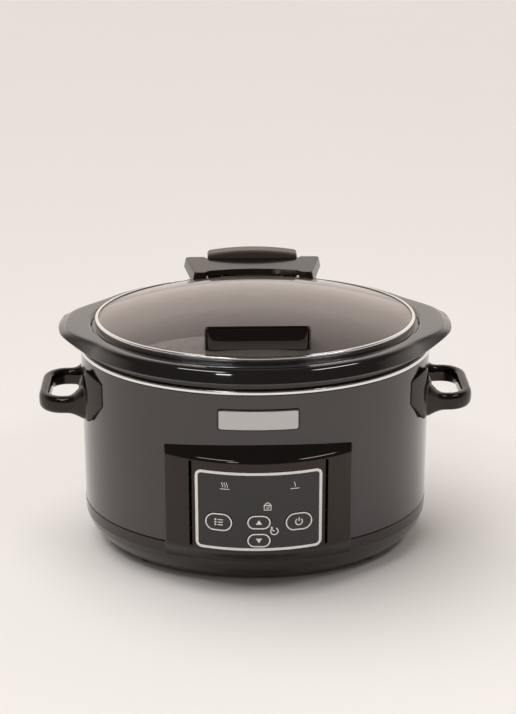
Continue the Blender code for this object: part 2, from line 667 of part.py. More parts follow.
# -------------------------------------------------------------- side handles
def make_side_handle(word, side):
    """Loop handle with a finger opening; its root spreads over the shell, tapering past a ridge."""
    reach, half = SIDE_HANDLE_REACH, SIDE_HANDLE_HALF_W
    corner = SIDE_HANDLE_CORNER
    outer = [(146 * MM, -half)] + arc((reach - corner, corner - half), corner, -90, 0, 5)
    outer += arc((reach - corner, half - corner), corner, 0, 90, 5) + [(146 * MM, half)]
    inner_reach, inner_half = reach - SIDE_HANDLE_BAR, half - SIDE_HANDLE_BAR
    inner_x, inner_r = 161.0 * MM, 12.0 * MM
    inner = arc((inner_reach - inner_r, inner_r - inner_half), inner_r, -90, 0, 4)
    inner += arc((inner_reach - inner_r, inner_half - inner_r), inner_r, 0, 90, 4)
    inner += [(inner_x, inner_half), (inner_x, -inner_half)]
    if side < 0:
        outer = [(-x, y) for x, y in reversed(outer)]
        inner = [(-x, y) for x, y in reversed(inner)]
    handle = outline_solid("side_handle_" + word, [outer, inner], 2 * SIDE_HANDLE_HALF_H)
    for vertex in handle.data.vertices:
        vertex.co.z += SIDE_HANDLE_Z
    place(handle, BLACK_PLASTIC)
    add_bevel(handle, 3.0 * MM, 1)

    def escutcheon_profile(angle):
        y = abs(BODY_B * math.sin(angle))
        past = max(0.0, (y - RIDGE_Y) / (ESCUTCHEON_HALF_W - RIDGE_Y))
        dip = smooth_step((RIDGE_Y - y) / (20.0 * MM))
        low = ESCUTCHEON_Z[0] + (21.0 * past + 4.0 * dip) * MM
        high = ESCUTCHEON_Z[1] - (6.0 * past + 29.0 * dip) * MM
        proud = (3.0 + min(1.0, y / RIDGE_Y) ** 2 - 3.2 * past) * MM
        return [(GAP, low), (proud, low), (proud, high), (GAP, high)]

    middle = 0.0 if side > 0 else math.pi
    spread = math.asin(ESCUTCHEON_HALF_W / BODY_B)
    escutcheon = oval_strip("escutcheon_" + word, escutcheon_profile, middle - spread, middle + spread, 20)
    join(handle, hide_as_cutter(escutcheon))
    cut(handle, shell_clearance("shell_at_handle_" + word, GAP, 90 * MM, 190 * MM))
    for end, place_word in ((-1, "front"), (1, "rear")):
        y = end * SIDE_SCREW_Y
        hole = rod(f"handle_bore_{word}_{place_word}", SCREW_HOLE_R, (side * 140 * MM, y, SIDE_HANDLE_Z),
                   (side * 172.5 * MM, y, SIDE_HANDLE_Z))
        cut(handle, hide_as_cutter(hole))
        screw = turned(f"handle_screw_{word}_{place_word}", screw_profile(24.5 * MM, 1.6 * MM))
        place(screw, PLATED_STEEL)
        screw.location = (side * 147.0 * MM, y, SIDE_HANDLE_Z)
        screw.rotation_euler = (0.0, side * math.pi / 2, 0.0)


# ------------------------------------------------------------- control panel
def face_y(x):
    """The panel's bowed front face."""
    return PANEL_FRONT_Y + PANEL_FACE_R - math.sqrt(PANEL_FACE_R ** 2 - x ** 2)


def body_y(x, offset):
    return -(BODY_B + offset) * math.sqrt(1.0 - (x / (BODY_A + offset)) ** 2)


def spaced(low, high, count):
    return [low + (high - low) * i / count for i in range(count + 1)]


def make_panel():
    """Bowed housing on the front, hollow behind, with openings for fascia, keys and vents."""
    edge = PANEL_HALF_W - 2.0 * MM
    sections = []
    for x in [-PANEL_HALF_W] + spaced(-edge, edge, 12) + [PANEL_HALF_W]:
        back = body_y(x, GAP + 0.5 * MM)
        front = face_y(x) + (1.6 * MM if abs(x) > edge else 0.0)
        depth = back - front
        top = (138.6 - 5.6 * (x / PANEL_HALF_W) ** 2) * MM
        outline = [(back, 30 * MM), (front + 0.5 * depth, 31 * MM), (front, 40 * MM), (front, 127.0 * MM),
                   (front + 1.6 * MM, 129.5 * MM), (back, top)]
        sections.append([(x, y, z) for y, z in outline])
    panel = place(loft("control_panel", sections), BLACK_PLASTIC)
    hollow = []
    for x in spaced(-edge + 1.0 * MM, edge - 1.0 * MM, 8):
        back = body_y(x, -4.0 * MM)
        front = face_y(x) + PANEL_WALL
        outline = [(back, 36 * MM), (front + 4 * MM, 36 * MM), (front, 42 * MM), (front, 125.5 * MM),
                   (back, 129.0 * MM)]
        hollow.append([(x, y, z) for y, z in outline])
    cut(panel, hide_as_cutter(loft("panel_hollow", hollow)))
    cut(panel, hide_as_cutter(fascia_solid("fascia_recess", GAP, -2.0 * MM, LENS_THICK + GAP)))
    for side in (-1, 1):
        for index, low in enumerate(spaced(50 * MM, 112 * MM, 4)):
            slot = box(f"slot_{side}_{index}", (side * SLOT_X - SLOT_HALF_W, -150 * MM, low),
                       (side * SLOT_X + SLOT_HALF_W, -124.5 * MM, low + 13 * MM))
            cut(panel, hide_as_cutter(slot))
    for name in KEYS:
        cut(panel, key_solid(name, "panel_hole_" + name, GAP, 8 * MM, 8 * MM))
    return panel


def fascia_solid(name, grow, front_shift, back_shift):
    """Bowed plate with round corners, between two offsets from the panel's face."""
    half_w = LENS_HALF_W + grow
    low, high = LENS_Z[0] - grow, LENS_Z[1] + grow
    inner = half_w - LENS_CORNER
    corner = [inner + LENS_CORNER * math.sin(math.radians(a)) for a in (30, 55, 75, 88)]
    xs = [-x for x in reversed(corner)] + spaced(-inner, inner, 8) + corner
    sections = []
    for x in xs:
        into = max(0.0, abs(x) - inner)
        drop = LENS_CORNER - math.sqrt(LENS_CORNER ** 2 - into ** 2)
        front, back = face_y(x) + front_shift, face_y(x) + back_shift
        bottom, top = low + drop, high - drop
        sections.append([(x, front, bottom), (x, front, top), (x, back, top), (x, back, bottom)])
    return loft(name, sections)


def key_frame(name):
    """Where a key sits on the bowed face, and how it is turned to follow it."""
    x, z = KEYS[name][:2]
    lean = math.asin(x / PANEL_FACE_R)
    return Vector((x, face_y(x), z)), lean


def key_solid(key, name, grow, proud, deep):
    """Pill-shaped cutter for a key's opening."""
    width, height = KEYS[key][2:]
    solid = outline_solid(name, [pill_outline(width, height, grow)], proud + deep)
    hide_as_cutter(solid)
    spot, lean = key_frame(key)
    solid.rotation_euler = (math.pi / 2, 0.0, lean)
    outward = Vector((math.sin(lean), -math.cos(lean), 0.0))
    solid.location = spot + outward * (proud - deep) / 2.0
    return solid


def make_fascia_and_keys():
    lens = place(fascia_solid("panel_lens", 0.0, 0.0, LENS_THICK), LENS_BLACK)
    for name in KEYS:
        cut(lens, key_solid(name, "lens_hole_" + name, GAP, 8 * MM, 8 * MM))
        width, height = KEYS[name][2:]
        key = outline_solid(name, [pill_outline(width, height)], KEY_DEPTH)
        for vertex in key.data.vertices:
            vertex.co.z += KEY_PROUD - KEY_DEPTH / 2.0
        place(key, LENS_BLACK)
        spot, lean = key_frame(name)
        key.location = spot
        key.rotation_euler = (math.pi / 2, 0.0, lean)
        x, z = KEYS[name][:2]
        stop = spot.y + (KEY_DEPTH - KEY_PROUD + KEY_TRAVEL + 0.3 * MM) + abs(x) * 0.04
        switch = box(name.replace("button", "switch"), (x - 3 * MM, stop, z - 3 * MM),
                     (x + 3 * MM, BOARD_FRONT_Y - GAP, z + 3 * MM))
        place(switch, DARK_PLASTIC)
    board = box("control_board", (-43 * MM, BOARD_FRONT_Y, 50 * MM), (43 * MM, BOARD_BACK_Y, 114 * MM))
    place(board, BOARD_GREEN)
    display = box("display_module", (-20 * MM, -134.5 * MM, 88 * MM), (20 * MM, BOARD_FRONT_Y - GAP, 108 * MM))
    place(display, DARK_PLASTIC)


# -------------------------------------------------------------- electrics
def make_electrics():
    """Tray under the liner with the power board and what is on it."""
    tray = place(box("board_tray", (-64 * MM, -44 * MM, 13 * MM), (64 * MM, 44 * MM, 15.5 * MM)), DARK_PLASTIC)
    for i, (x, y) in enumerate(((-56, -36), (56, -36), (56, 36), (-56, 36))):
        leg = rod(f"tray_leg_{i}", 4 * MM, (x * MM, y * MM, COVER_TOP_Z + GAP), (x * MM, y * MM, 14 * MM), 12)
        join(tray, hide_as_cutter(leg))
    seat = rod("sensor_seat", 8 * MM, (0, 0, 14 * MM), (0, 0, 29.8 * MM))
    join(tray, hide_as_cutter(seat))
    floor = 15.5 * MM + GAP
    board_top = floor + 1.6 * MM
    place(box("power_board", (-60 * MM, -38 * MM, floor), (-14 * MM, 38 * MM, board_top)), BOARD_GREEN)
    on_board = board_top + GAP
    place(box("relay", (-38 * MM, 8 * MM, on_board), (-20 * MM, 34 * MM, on_board + 16 * MM)), DARK_PLASTIC)
    place(box("transformer", (-56 * MM, -32 * MM, on_board), (-26 * MM, 0.0, on_board + 24 * MM)), LINER_METAL)
    place(box("terminal_block", (22 * MM, 18 * MM, floor), (46 * MM, 34 * MM, floor + 12 * MM)), HEATER_CLOTH)
    supply = [(0, 118, 34), (0, 108, 33.5), (4, 92, 31), (14, 70, 27), (26, 52, 23.5), (32, 42, 22), (34, 34.6, 22)]
    place(wire("supply_lead", [(x * MM, y * MM, z * MM) for x, y, z in supply], 2.4 * MM), WIRE_SLEEVE)
    harness = [
        (-13.0, -20, 18), (5, -40, 24), (28, -70, 32), (44, -98, 45), (49.5, -110, 55), (50, -115.2, 66),
        (50, -116.6, 76), (49.8, -120.5, 81), (47.8, -125.0, 82), (45.2, -127.3, 82)]
    place(wire("panel_harness", [(x * MM, y * MM, z * MM) for x, y, z in harness], 1.2 * MM), WIRE_SLEEVE)
    gland = [(3.2, 3.0), (6.0, 3.0), (6.4, 2.4), (6.4, 0.4), (4.6, 0.4), (4.6, -6.0), (3.2, -6.0), (3.2, 3.0)]
    bush = place(turned("cord_gland", [(r * MM, z * MM) for r, z in gland]), DARK_PLASTIC)
    bush.location = (0.0, BODY_B, 34 * MM)
    bush.rotation_euler = (-math.pi / 2, 0.0, 0.0)


make_base()
make_cover()
make_feet()
make_shell()
make_trim()
make_badge()
make_liner()
make_heater()
make_heat_shield()
make_sensor()
make_crock()
make_glass()
make_lid_rim()
make_lid_handle()
make_lid_screws()
make_bracket()
make_hinge_tower()
make_hinge_block()
make_side_handle("left", -1)
make_side_handle("right", 1)
make_panel()
make_fascia_and_keys()
make_electrics()
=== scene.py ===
"""Slow cooker with a hinged glass lid: the detailed visual model, built round its CAD frame.

Helpers take millimetres, measured from the middle of the body; new pieces are
placed in the frame's own metres.
"""

import functools
import math

import bmesh
import bpy
import numpy as np
from bpy.props import FloatProperty, FloatVectorProperty, PointerProperty
from mathutils import Matrix, Vector


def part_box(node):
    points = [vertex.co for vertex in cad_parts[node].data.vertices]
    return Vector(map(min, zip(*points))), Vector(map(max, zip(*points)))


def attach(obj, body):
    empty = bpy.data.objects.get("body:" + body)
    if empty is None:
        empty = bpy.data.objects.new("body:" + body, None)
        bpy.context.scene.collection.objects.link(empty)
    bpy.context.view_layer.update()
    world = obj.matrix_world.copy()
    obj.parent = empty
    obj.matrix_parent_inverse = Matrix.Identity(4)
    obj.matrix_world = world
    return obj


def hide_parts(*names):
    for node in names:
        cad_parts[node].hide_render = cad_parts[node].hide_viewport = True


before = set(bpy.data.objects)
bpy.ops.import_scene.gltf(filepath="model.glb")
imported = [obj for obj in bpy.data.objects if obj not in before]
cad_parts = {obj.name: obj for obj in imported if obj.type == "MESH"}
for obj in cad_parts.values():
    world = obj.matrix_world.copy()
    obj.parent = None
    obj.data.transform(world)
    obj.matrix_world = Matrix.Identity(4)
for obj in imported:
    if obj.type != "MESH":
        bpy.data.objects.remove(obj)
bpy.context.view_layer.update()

bl_info = {
    "name": "Slow Cooker Pieces",
    "version": (1, 0, 0),
    "blender": (4, 5, 0),
    "location": "3D View > Sidebar > Slow Cooker",
    "description": "Builds the detailed pieces, finishes and stage of a hinged-lid slow cooker",
    "category": "Object",
}

MM = 0.001
CENTRE_Y = (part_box("outer_shell")[0][1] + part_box("outer_shell")[1][1]) / 2.0
TURNS = 240
HANDLE_VOXEL = 0.8 * MM
FINISHES = {}

# Places and sizes that more than one function uses, in millimetres.
HINGE_Y, HINGE_Z = 143.0, 212.0
PIN_BORE = 2.8
SCREW_BORE = 2.1
FOOT_HOLE = 2.3
CORD_Z = 34.0
LID_OFFSET = -15.0
GRIP_SCREW_X, GRIP_SCREW_Y = 28.0, -90.0
BRACKET_SCREW_X, BRACKET_SCREW_Y = 48.0, 92.0
TOWER_SCREW_X, TOWER_SCREW_Z = 25.0, 150.0
EAR_GAP_HALF = 30.0
SLOT_X, SLOT_HALF, SLOT_LOW, SLOT_HIGH = 58.2, 1.3, 46.4, 125.6


# ------------------------------------------------------------------ settings
def length(name, description, default):
    return FloatProperty(name=name, description=description, default=default, unit="LENGTH", precision=4)


def colour(name, description, default):
    return FloatVectorProperty(
        name=name, description=description, default=default, subtype="COLOR", size=3, min=0.0, max=1.0)


class CookerSizes(bpy.types.PropertyGroup):
    half_width: length("Half width", "Half of the shell's width", 157.0 * MM)
    half_depth: length("Half depth", "Half of the shell's depth", 125.6 * MM)
    seam: length("Seam height", "Height of the joint between base and shell", 40.7 * MM)
    shell_top: length("Shell top", "Height of the shell's top edge", 183.6 * MM)
    ear_reach: length("Ear reach", "How far each ear stands out from the crock's rim", 12.4 * MM)
    dome_edge: length("Dome edge", "Height of the glass at its edge", 210.6 * MM)
    dome_rise: length("Dome rise", "How much the glass rises to its middle", 23.0 * MM)
    glass: length("Glass thickness", "Thickness of the lid's glass", 4.0 * MM)
    lid_handle: length("Lid handle half width", "Half of the lid handle's width", 44.8 * MM)
    hinge: length("Hinge half width", "Half of the hinge block's width", 43.3 * MM)
    handle_height: length("Handle height", "Height of the side handles' middle", 140.0 * MM)
    panel: length("Panel half width", "Half of the control panel's width", 81.0 * MM)
    face_radius: length("Face radius", "Radius of the control panel's bowed face", 143.7 * MM)
    frame_line: length("Frame line", "Width of the printed frame round the controls", 2.4 * MM)
    key_line: length("Key line", "Width of the printed outline of a key", 1.1 * MM)


class CookerColours(bpy.types.PropertyGroup):
    shell: colour("Shell", "Metallic paint of the shell", (0.043, 0.0340, 0.0370))
    plastic: colour("Plastic", "Gloss plastic of the base, panel and handles", (0.0046, 0.0040, 0.0038))
    stoneware: colour("Stoneware", "Glaze of the crock", (0.0050, 0.0042, 0.0040))
    steel: colour("Steel", "Bright trim and lid band", (0.82, 0.82, 0.82))
    badge: colour("Badge", "Satin badge plate", (0.50, 0.50, 0.50))
    print_ink: colour("Print", "Ink of the lines and symbols", (0.92, 0.89, 0.86))
    floor: colour("Floor", "Studio floor and backdrop", (0.835, 0.80, 0.768))


class CookerStudio(bpy.types.PropertyGroup):
    surround: FloatProperty(
        name="Surround", description="Strength of the studio's soft light", default=0.95, min=0.0)
    strips: FloatProperty(
        name="Strips", description="Power of the overhead strips", default=2.6, min=0.0, unit="POWER")
    ceiling: FloatProperty(
        name="Ceiling", description="Strength of the soft light overhead", default=2.14, min=0.0)
    lens: FloatProperty(
        name="Lens", description="Focal length", default=88.47, min=1.0, unit="CAMERA")
    camera: FloatVectorProperty(
        name="Camera", description="Where the camera stands", subtype="TRANSLATION", size=3, unit="LENGTH",
        default=(-0.0320, -1.4911, 0.7350))
    tilt: FloatProperty(
        name="Tilt", description="Camera tilt from straight down", subtype="ANGLE",
        default=math.radians(69.193))
    turn: FloatProperty(
        name="Turn", description="Camera turn from the middle plane", subtype="ANGLE",
        default=math.radians(-1.329))


def sizes():
    return bpy.context.scene.cooker_sizes


def tints():
    return bpy.context.scene.cooker_colours


# ----------------------------------------------------------------- finishes
def finish(name, tint, roughness, metallic=0.0, coat=0.0, grain=1400.0, depth=0.010, mottle=0.05,
           cloud=18.0, sheen=(1.0, 1.0, 1.0)):
    """Finish with a fine grain in its relief and soft clouds in its tone and gloss.

    Sheen tints its highlights, and depth is the grain's, in millimetres.
    """
    material = bpy.data.materials.new(name)
    material.use_nodes = True
    nodes, links = material.node_tree.nodes, material.node_tree.links
    shader = nodes["Principled BSDF"]
    shader.inputs["Metallic"].default_value = metallic
    shader.inputs["Coat Weight"].default_value = coat
    shader.inputs["Coat Roughness"].default_value = 0.03
    shader.inputs["Specular Tint"].default_value = (*sheen, 1.0)
    coords = nodes.new("ShaderNodeTexCoord")
    clouds = nodes.new("ShaderNodeTexNoise")
    clouds.inputs["Scale"].default_value = cloud
    clouds.inputs["Detail"].default_value = 5.0
    links.new(coords.outputs["Object"], clouds.inputs["Vector"])
    tone = nodes.new("ShaderNodeValToRGB")
    tone.color_ramp.elements[0].position = 0.3
    tone.color_ramp.elements[1].position = 0.7
    for element, share in zip(tone.color_ramp.elements, (1.0 - mottle, 1.0 + mottle)):
        element.color = (*[min(1.0, part * share) for part in tint], 1.0)
    links.new(clouds.outputs["Fac"], tone.inputs["Fac"])
    links.new(tone.outputs["Color"], shader.inputs["Base Color"])
    gloss = nodes.new("ShaderNodeMapRange")
    gloss.inputs["From Min"].default_value = 0.3
    gloss.inputs["From Max"].default_value = 0.7
    gloss.inputs["To Min"].default_value = roughness * 0.85
    gloss.inputs["To Max"].default_value = roughness * 1.15
    links.new(clouds.outputs["Fac"], gloss.inputs["Value"])
    links.new(gloss.outputs["Result"], shader.inputs["Roughness"])
    fine = nodes.new("ShaderNodeTexNoise")
    fine.inputs["Scale"].default_value = grain
    fine.inputs["Detail"].default_value = 2.0
    links.new(coords.outputs["Object"], fine.inputs["Vector"])
    relief = nodes.new("ShaderNodeBump")
    relief.inputs["Strength"].default_value = 0.35
    relief.inputs["Distance"].default_value = depth * MM
    links.new(fine.outputs["Fac"], relief.inputs["Height"])
    links.new(relief.outputs["Normal"], shader.inputs["Normal"])
    FINISHES[name] = material
    return material


def make_finishes():
    own = tints()
    warm = (1.0, 0.83, 0.76)
    finish("shell_paint", own.shell, 0.24, 0.6, 0.8, grain=2600.0, depth=0.002, mottle=0.02)
    finish("gloss_plastic", own.plastic, 0.07, grain=500.0, depth=0.002, sheen=warm)
    finish("satin_plastic", own.plastic, 0.17, coat=0.35, grain=1200.0, depth=0.003, sheen=warm)
    finish("soft_plastic", own.plastic, 0.14, grain=1200.0, depth=0.004, sheen=warm)
    # Hinge slab's plastic, black in the real thing: its much lighter colour is painted light on its upright
    # front, which the lamps barely reach.
    finish("matt_plastic", (0.092, 0.070, 0.064), 0.42, grain=1200.0, depth=0.006, sheen=warm)
    # Near-black rough finish for the insides of the vent channels and slots: painted shade of their depth.
    finish("vent_black", (0.0015, 0.0012, 0.0012), 0.9, grain=1200.0, depth=0.01, sheen=warm)
    finish("dark_screw", (0.035, 0.032, 0.030), 0.4, 0.9, grain=1800.0, depth=0.010)
    finish("fascia_gloss", (0.0085, 0.0068, 0.0074), 0.09, coat=0.2, grain=500.0, depth=0.002)
    glaze = finish("glaze", own.stoneware, 0.05, coat=0.6, grain=140.0, depth=0.012, mottle=0.12,
                   cloud=30.0)
    glaze.node_tree.nodes["Principled BSDF"].inputs["IOR"].default_value = 1.62
    finish("bright_steel", own.steel, 0.16, 1.0, grain=1600.0, depth=0.004, mottle=0.02)
    finish("badge_satin", own.badge, 0.30, 1.0, grain=2400.0, depth=0.008, mottle=0.03)
    finish("print_ink", own.print_ink, 0.45, grain=2600.0, depth=0.006, mottle=0.03)
    finish("screw_steel", (0.52, 0.51, 0.50), 0.32, 1.0, grain=1800.0, depth=0.010)
    finish("liner_steel", (0.42, 0.41, 0.40), 0.38, 1.0, grain=900.0, depth=0.015)
    finish("cover_steel", (0.045, 0.043, 0.042), 0.45, 0.6, grain=1500.0, depth=0.02)
    finish("rubber", (0.022, 0.021, 0.020), 0.75, grain=1200.0, depth=0.05)
    finish("heater_cloth", (0.62, 0.58, 0.50), 0.9, grain=1100.0, depth=0.15)
    finish("shield_foil", (0.70, 0.70, 0.69), 0.28, 1.0, grain=260.0, depth=0.08)
    finish("board_resin", (0.020, 0.12, 0.05), 0.45, grain=900.0, depth=0.02, mottle=0.2)
    finish("dark_plastic", (0.030, 0.029, 0.028), 0.5, grain=1500.0, depth=0.03)
    finish("core_steel", (0.30, 0.29, 0.27), 0.5, 0.9, grain=700.0, depth=0.04, mottle=0.15)
    finish("ceramic", (0.72, 0.70, 0.66), 0.4, grain=700.0, depth=0.02)
    finish("wire_sleeve", (0.26, 0.24, 0.22), 0.6, grain=1600.0, depth=0.03)
    # The glass's pale warm base colour, seen in its diffuse share beside the transmission, is painted light:
    # it brightens the glass in place of the lit inside of the crock and the reflected backdrop.
    glass = finish("lid_glass", (0.70, 0.615, 0.575), 0.012, grain=60.0, depth=0.010, mottle=0.005,
                   cloud=14.0)
    shader = glass.node_tree.nodes["Principled BSDF"]
    shader.inputs["Transmission Weight"].default_value = 0.88
    shader.inputs["IOR"].default_value = 1.62
    finish("studio_paper", own.floor, 0.85, grain=300.0, depth=0.02, mottle=0.008, cloud=2.0)


# Inner parts that keep their CAD shape, by the finish that they take.
CARRIED = {
    "heater_cloth": ["heater_band"],
    "shield_foil": ["heat_shield"],
    "board_resin": ["control_board", "power_board"],
    "dark_plastic": ["display_module", "relay", "board_tray", "switch_menu", "switch_up", "switch_down",
                     "switch_power"],
    "core_steel": ["transformer"],
    "ceramic": ["terminal_block"],
    "wire_sleeve": ["supply_lead", "panel_harness"],
    "screw_steel": ["band_spring", "sensor_spring", "tower_screw_left", "tower_screw_right",
                    "handle_screw_left_front", "handle_screw_left_rear", "handle_screw_right_front",
                    "handle_screw_right_rear"],
    "bright_steel": ["thermal_fuse", "sensor_cup"],
}


# ---------------------------------------------------------------- geometry
def solid(name, points, faces):
    """New object from points in millimetres, with its faces turned outwards."""
    placed = np.reshape(points, (-1, 3)) * MM + np.array((0.0, CENTRE_Y, 0.0))
    bm = bmesh.new()
    verts = [bm.verts.new(point) for point in placed]
    for face in faces:
        bm.faces.new([verts[i] for i in face])
    bmesh.ops.recalc_face_normals(bm, faces=bm.faces)
    mesh = bpy.data.meshes.new(name)
    bm.to_mesh(mesh)
    bm.free()
    obj = bpy.data.objects.new(name, mesh)
    bpy.context.scene.collection.objects.link(obj)
    return obj


def finished(obj, material, body, slot, stands_for=(), sharp=34.0, weighted=True):
    """Gives a piece its finish, the body that it rides on and the CAD nodes that it stands for."""
    obj.data.materials.append(FINISHES[material])
    smooth(obj, sharp, weighted)
    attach(obj, body)
    if stands_for:
        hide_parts(*stands_for)
    return obj


def piece(name, points, faces, *where, **more):
    """New finished piece from points in millimetres."""
    return finished(solid(name, points, faces), *where, **more)


def smooth(obj, sharp=34.0, weighted=True):
    """Smooth shading that keeps edges over the sharp angle, in degrees."""
    obj.data.shade_smooth()
    obj.data.set_sharp_from_angle(angle=math.radians(sharp))
    if weighted:
        normals = obj.modifiers.new("normals", "WEIGHTED_NORMAL")
        normals.keep_sharp = True
        normals.weight = 60


def skin_faces(rows, columns, ring=False):
    """Quads over rows of closed loops; a ring joins the last row to the first, and others get caps."""
    faces = []
    for i in range(rows if ring else rows - 1):
        near, far = i * columns, ((i + 1) % rows) * columns
        for j in range(columns):
            k = (j + 1) % columns
            faces.append((near + j, near + k, far + k, far + j))
    if not ring:
        faces.append(tuple(range(columns)))
        faces.append(tuple((rows - 1) * columns + j for j in reversed(range(columns))))
    return faces


def skin(name, rows, *where, ring=False, **more):
    """Piece whose surface runs through rows of closed loops."""
    points = [point for row in rows for point in row]
    return piece(name, points, skin_faces(len(rows), len(rows[0]), ring), *where, **more)


def rounded(corners, steps=5):
    """Outline through (u, v, cut) corners, each eased over its cut length."""
    outline = []
    count = len(corners)
    for i, (u, v, cut) in enumerate(corners):
        here = Vector((u, v))
        if not cut:
            outline.append((u, v))
            continue
        back = Vector(corners[i - 1][:2]) - here
        ahead = Vector(corners[(i + 1) % count][:2]) - here
        start = here + back.normalized() * min(cut, 0.48 * back.length)
        end = here + ahead.normalized() * min(cut, 0.48 * ahead.length)
        for k in range(steps + 1):
            t = k / steps
            outline.append(tuple(start.lerp(here, t).lerp(here.lerp(end, t), t)))
    return outline


def half_axes(offset):
    """Half width and half depth of the oval that lies offset outside the shell."""
    own = sizes()
    return own.half_width / MM + offset, own.half_depth / MM + offset


def oval_point(offset, angle, z):
    """Point on the oval that lies offset outside the shell."""
    a, b = half_axes(offset)
    return (a * math.cos(angle), b * math.sin(angle), z)


def turn_angles(count=TURNS):
    return [math.tau * i / count for i in range(count)]


def level_ring(offset, z, share=1.0, count=TURNS):
    """Level oval ring, drawn in towards the middle by share."""
    a, b = half_axes(offset)
    return [(a * share * math.cos(t), b * share * math.sin(t), z) for t in turn_angles(count)]


def hoop(name, profile, *where, count=TURNS, **more):
    """Closed (offset, height) profile carried round the body's oval."""
    rows = [[oval_point(o, angle, z) for o, z in profile] for angle in turn_angles(count)]
    return skin(name, rows, *where, ring=True, **more)


def cup(name, profile, *where, count=TURNS, **more):
    """(offset, height) profile from one flat oval face to another."""
    rows = [level_ring(o, z, count=count) for o, z in profile]
    return skin(name, rows, *where, **more)


def turned(name, profile, spot, axis, *where, count=40, **more):
    """Closed (radius, height) profile turned about an axis that starts at spot."""
    turn = Vector(axis).to_track_quat("Z", "Y").to_matrix()
    rows = []
    for angle in turn_angles(count):
        ring = [Vector((r * math.cos(angle), r * math.sin(angle), h)) for r, h in profile]
        rows.append([tuple(Vector(spot) + turn @ point) for point in ring])
    return skin(name, rows, *where, ring=True, **more)


def smooth_step(value):
    value = min(1.0, max(0.0, value))
    return value * value * (3.0 - 2.0 * value)


def spaced(low, high, count):
    """Values from low to high in count equal steps."""
    return [low + (high - low) * i / count for i in range(count + 1)]


def arc_points(x, y, radius, start, end, steps=20):
    """Points of an arc between two angles in degrees."""
    return [(x + radius * math.cos(math.radians(a)), y + radius * math.sin(math.radians(a)))
            for a in spaced(start, end, steps)]


def round_drop(x, half, corner):
    """How far the edge at x has dropped round the corner of a bar of this half length."""
    past = max(0.0, abs(x) - (half - corner))
    return corner - math.sqrt(max(0.0, corner ** 2 - past ** 2))


def bar_stations(half, corner, end_steps, middle_steps):
    """(x, inset) along a bar, close together where its ends are rounded."""
    ends = [half - corner * (1.0 - math.sin(math.radians(a))) for a in spaced(0, 90, end_steps)]
    middle = spaced(-half + corner, half - corner, middle_steps)[1:-1]
    stations = [-x for x in reversed(ends)] + middle + ends
    return [(x, round_drop(x, half, corner)) for x in stations]


def plate_stations(half, corner, start, end_steps, middle_steps):
    """(x, drop) along a round-cornered plate, from the start angle of its corners."""
    ends = [-half + corner * (1.0 - math.cos(math.radians(a))) for a in spaced(start, 90, end_steps)]
    middle = spaced(-half + corner, half - corner, middle_steps)[1:-1]
    stations = ends + middle + [-x for x in reversed(ends)]
    return [(x, round_drop(x, half, corner)) for x in stations]


def helper_skin(name, rows):
    """Unfinished solid for a cut or a join, taken away again afterwards."""
    return solid(name, [point for row in rows for point in row], skin_faces(len(rows), len(rows[0])))


def helper_box(name, low, high):
    """Box between two opposite corners, as a helper."""
    (x0, y0, z0), (x1, y1, z1) = low, high
    rows = [[(x, y0, z0), (x, y1, z0), (x, y1, z1), (x, y0, z1)] for x in (x0, x1)]
    return helper_skin(name, rows)


def helper_rod(name, radius, start, end, count=24):
    """Round bar between two points, as a helper."""
    start, end = Vector(start), Vector(end)
    turn = (end - start).to_track_quat("Z", "Y").to_matrix()
    ring = [turn @ Vector((radius * math.cos(a), radius * math.sin(a), 0.0)) for a in turn_angles(count)]
    return helper_skin(name, [[tuple(p + q) for q in ring] for p in (start, end)])


def paint_faces(obj, material, chosen):
    """Gives a second finish to the faces whose middle, in millimetres, is chosen."""
    obj.data.materials.append(FINISHES[material])
    for face in obj.data.polygons:
        x, y, z = face.center / MM
        if chosen(x, y - CENTRE_Y / MM, z):
            face.material_index = 1


def discard(obj):
    """Removes an object together with its mesh."""
    mesh = obj.data
    bpy.data.objects.remove(obj, do_unlink=True)
    bpy.data.meshes.remove(mesh)


def settle(obj):
    """Applies the piece's modifiers to its mesh."""
    graph = bpy.context.evaluated_depsgraph_get()
    mesh = bpy.data.meshes.new_from_object(obj.evaluated_get(graph))
    old = obj.data
    obj.modifiers.clear()
    obj.data = mesh
    bpy.data.meshes.remove(old)


def carve(obj, helpers, operation="DIFFERENCE"):
    """Cuts the helpers out of a piece, or joins them to it, and removes them."""
    weighted = any(modifier.type == "WEIGHTED_NORMAL" for modifier in obj.modifiers)
    obj.modifiers.clear()
    for other in helpers:
        modifier = obj.modifiers.new(other.name, "BOOLEAN")
        modifier.operation = operation
        modifier.object = other
        modifier.solver = "EXACT"
    settle(obj)
    for other in helpers:
        discard(other)
    if weighted:
        smooth(obj)
    return obj


def fuse(obj, voxel):
    """Adds a modifier that makes one skin of the overlapping solids in a mesh."""
    merge = obj.modifiers.new("merge", "REMESH")
    merge.mode = "VOXEL"
    merge.voxel_size = voxel


def moulded(name, parts, cuts, voxel, rounds, material, *where):
    """One soft-edged moulding from overlapping parts, with cuts taken out of it."""
    shape = solid(name, [], [])
    bm = bmesh.new()
    for part in parts:
        bm.from_mesh(part.data)
        discard(part)
    bm.to_mesh(shape.data)
    bm.free()
    fuse(shape, voxel)
    settle(shape)
    carve(shape, cuts)
    fuse(shape, voxel)
    ease = shape.modifiers.new("ease", "SMOOTH")
    ease.factor = 0.5
    ease.iterations = rounds
    settle(shape)
    return finished(shape, material, *where, sharp=180.0, weighted=False)


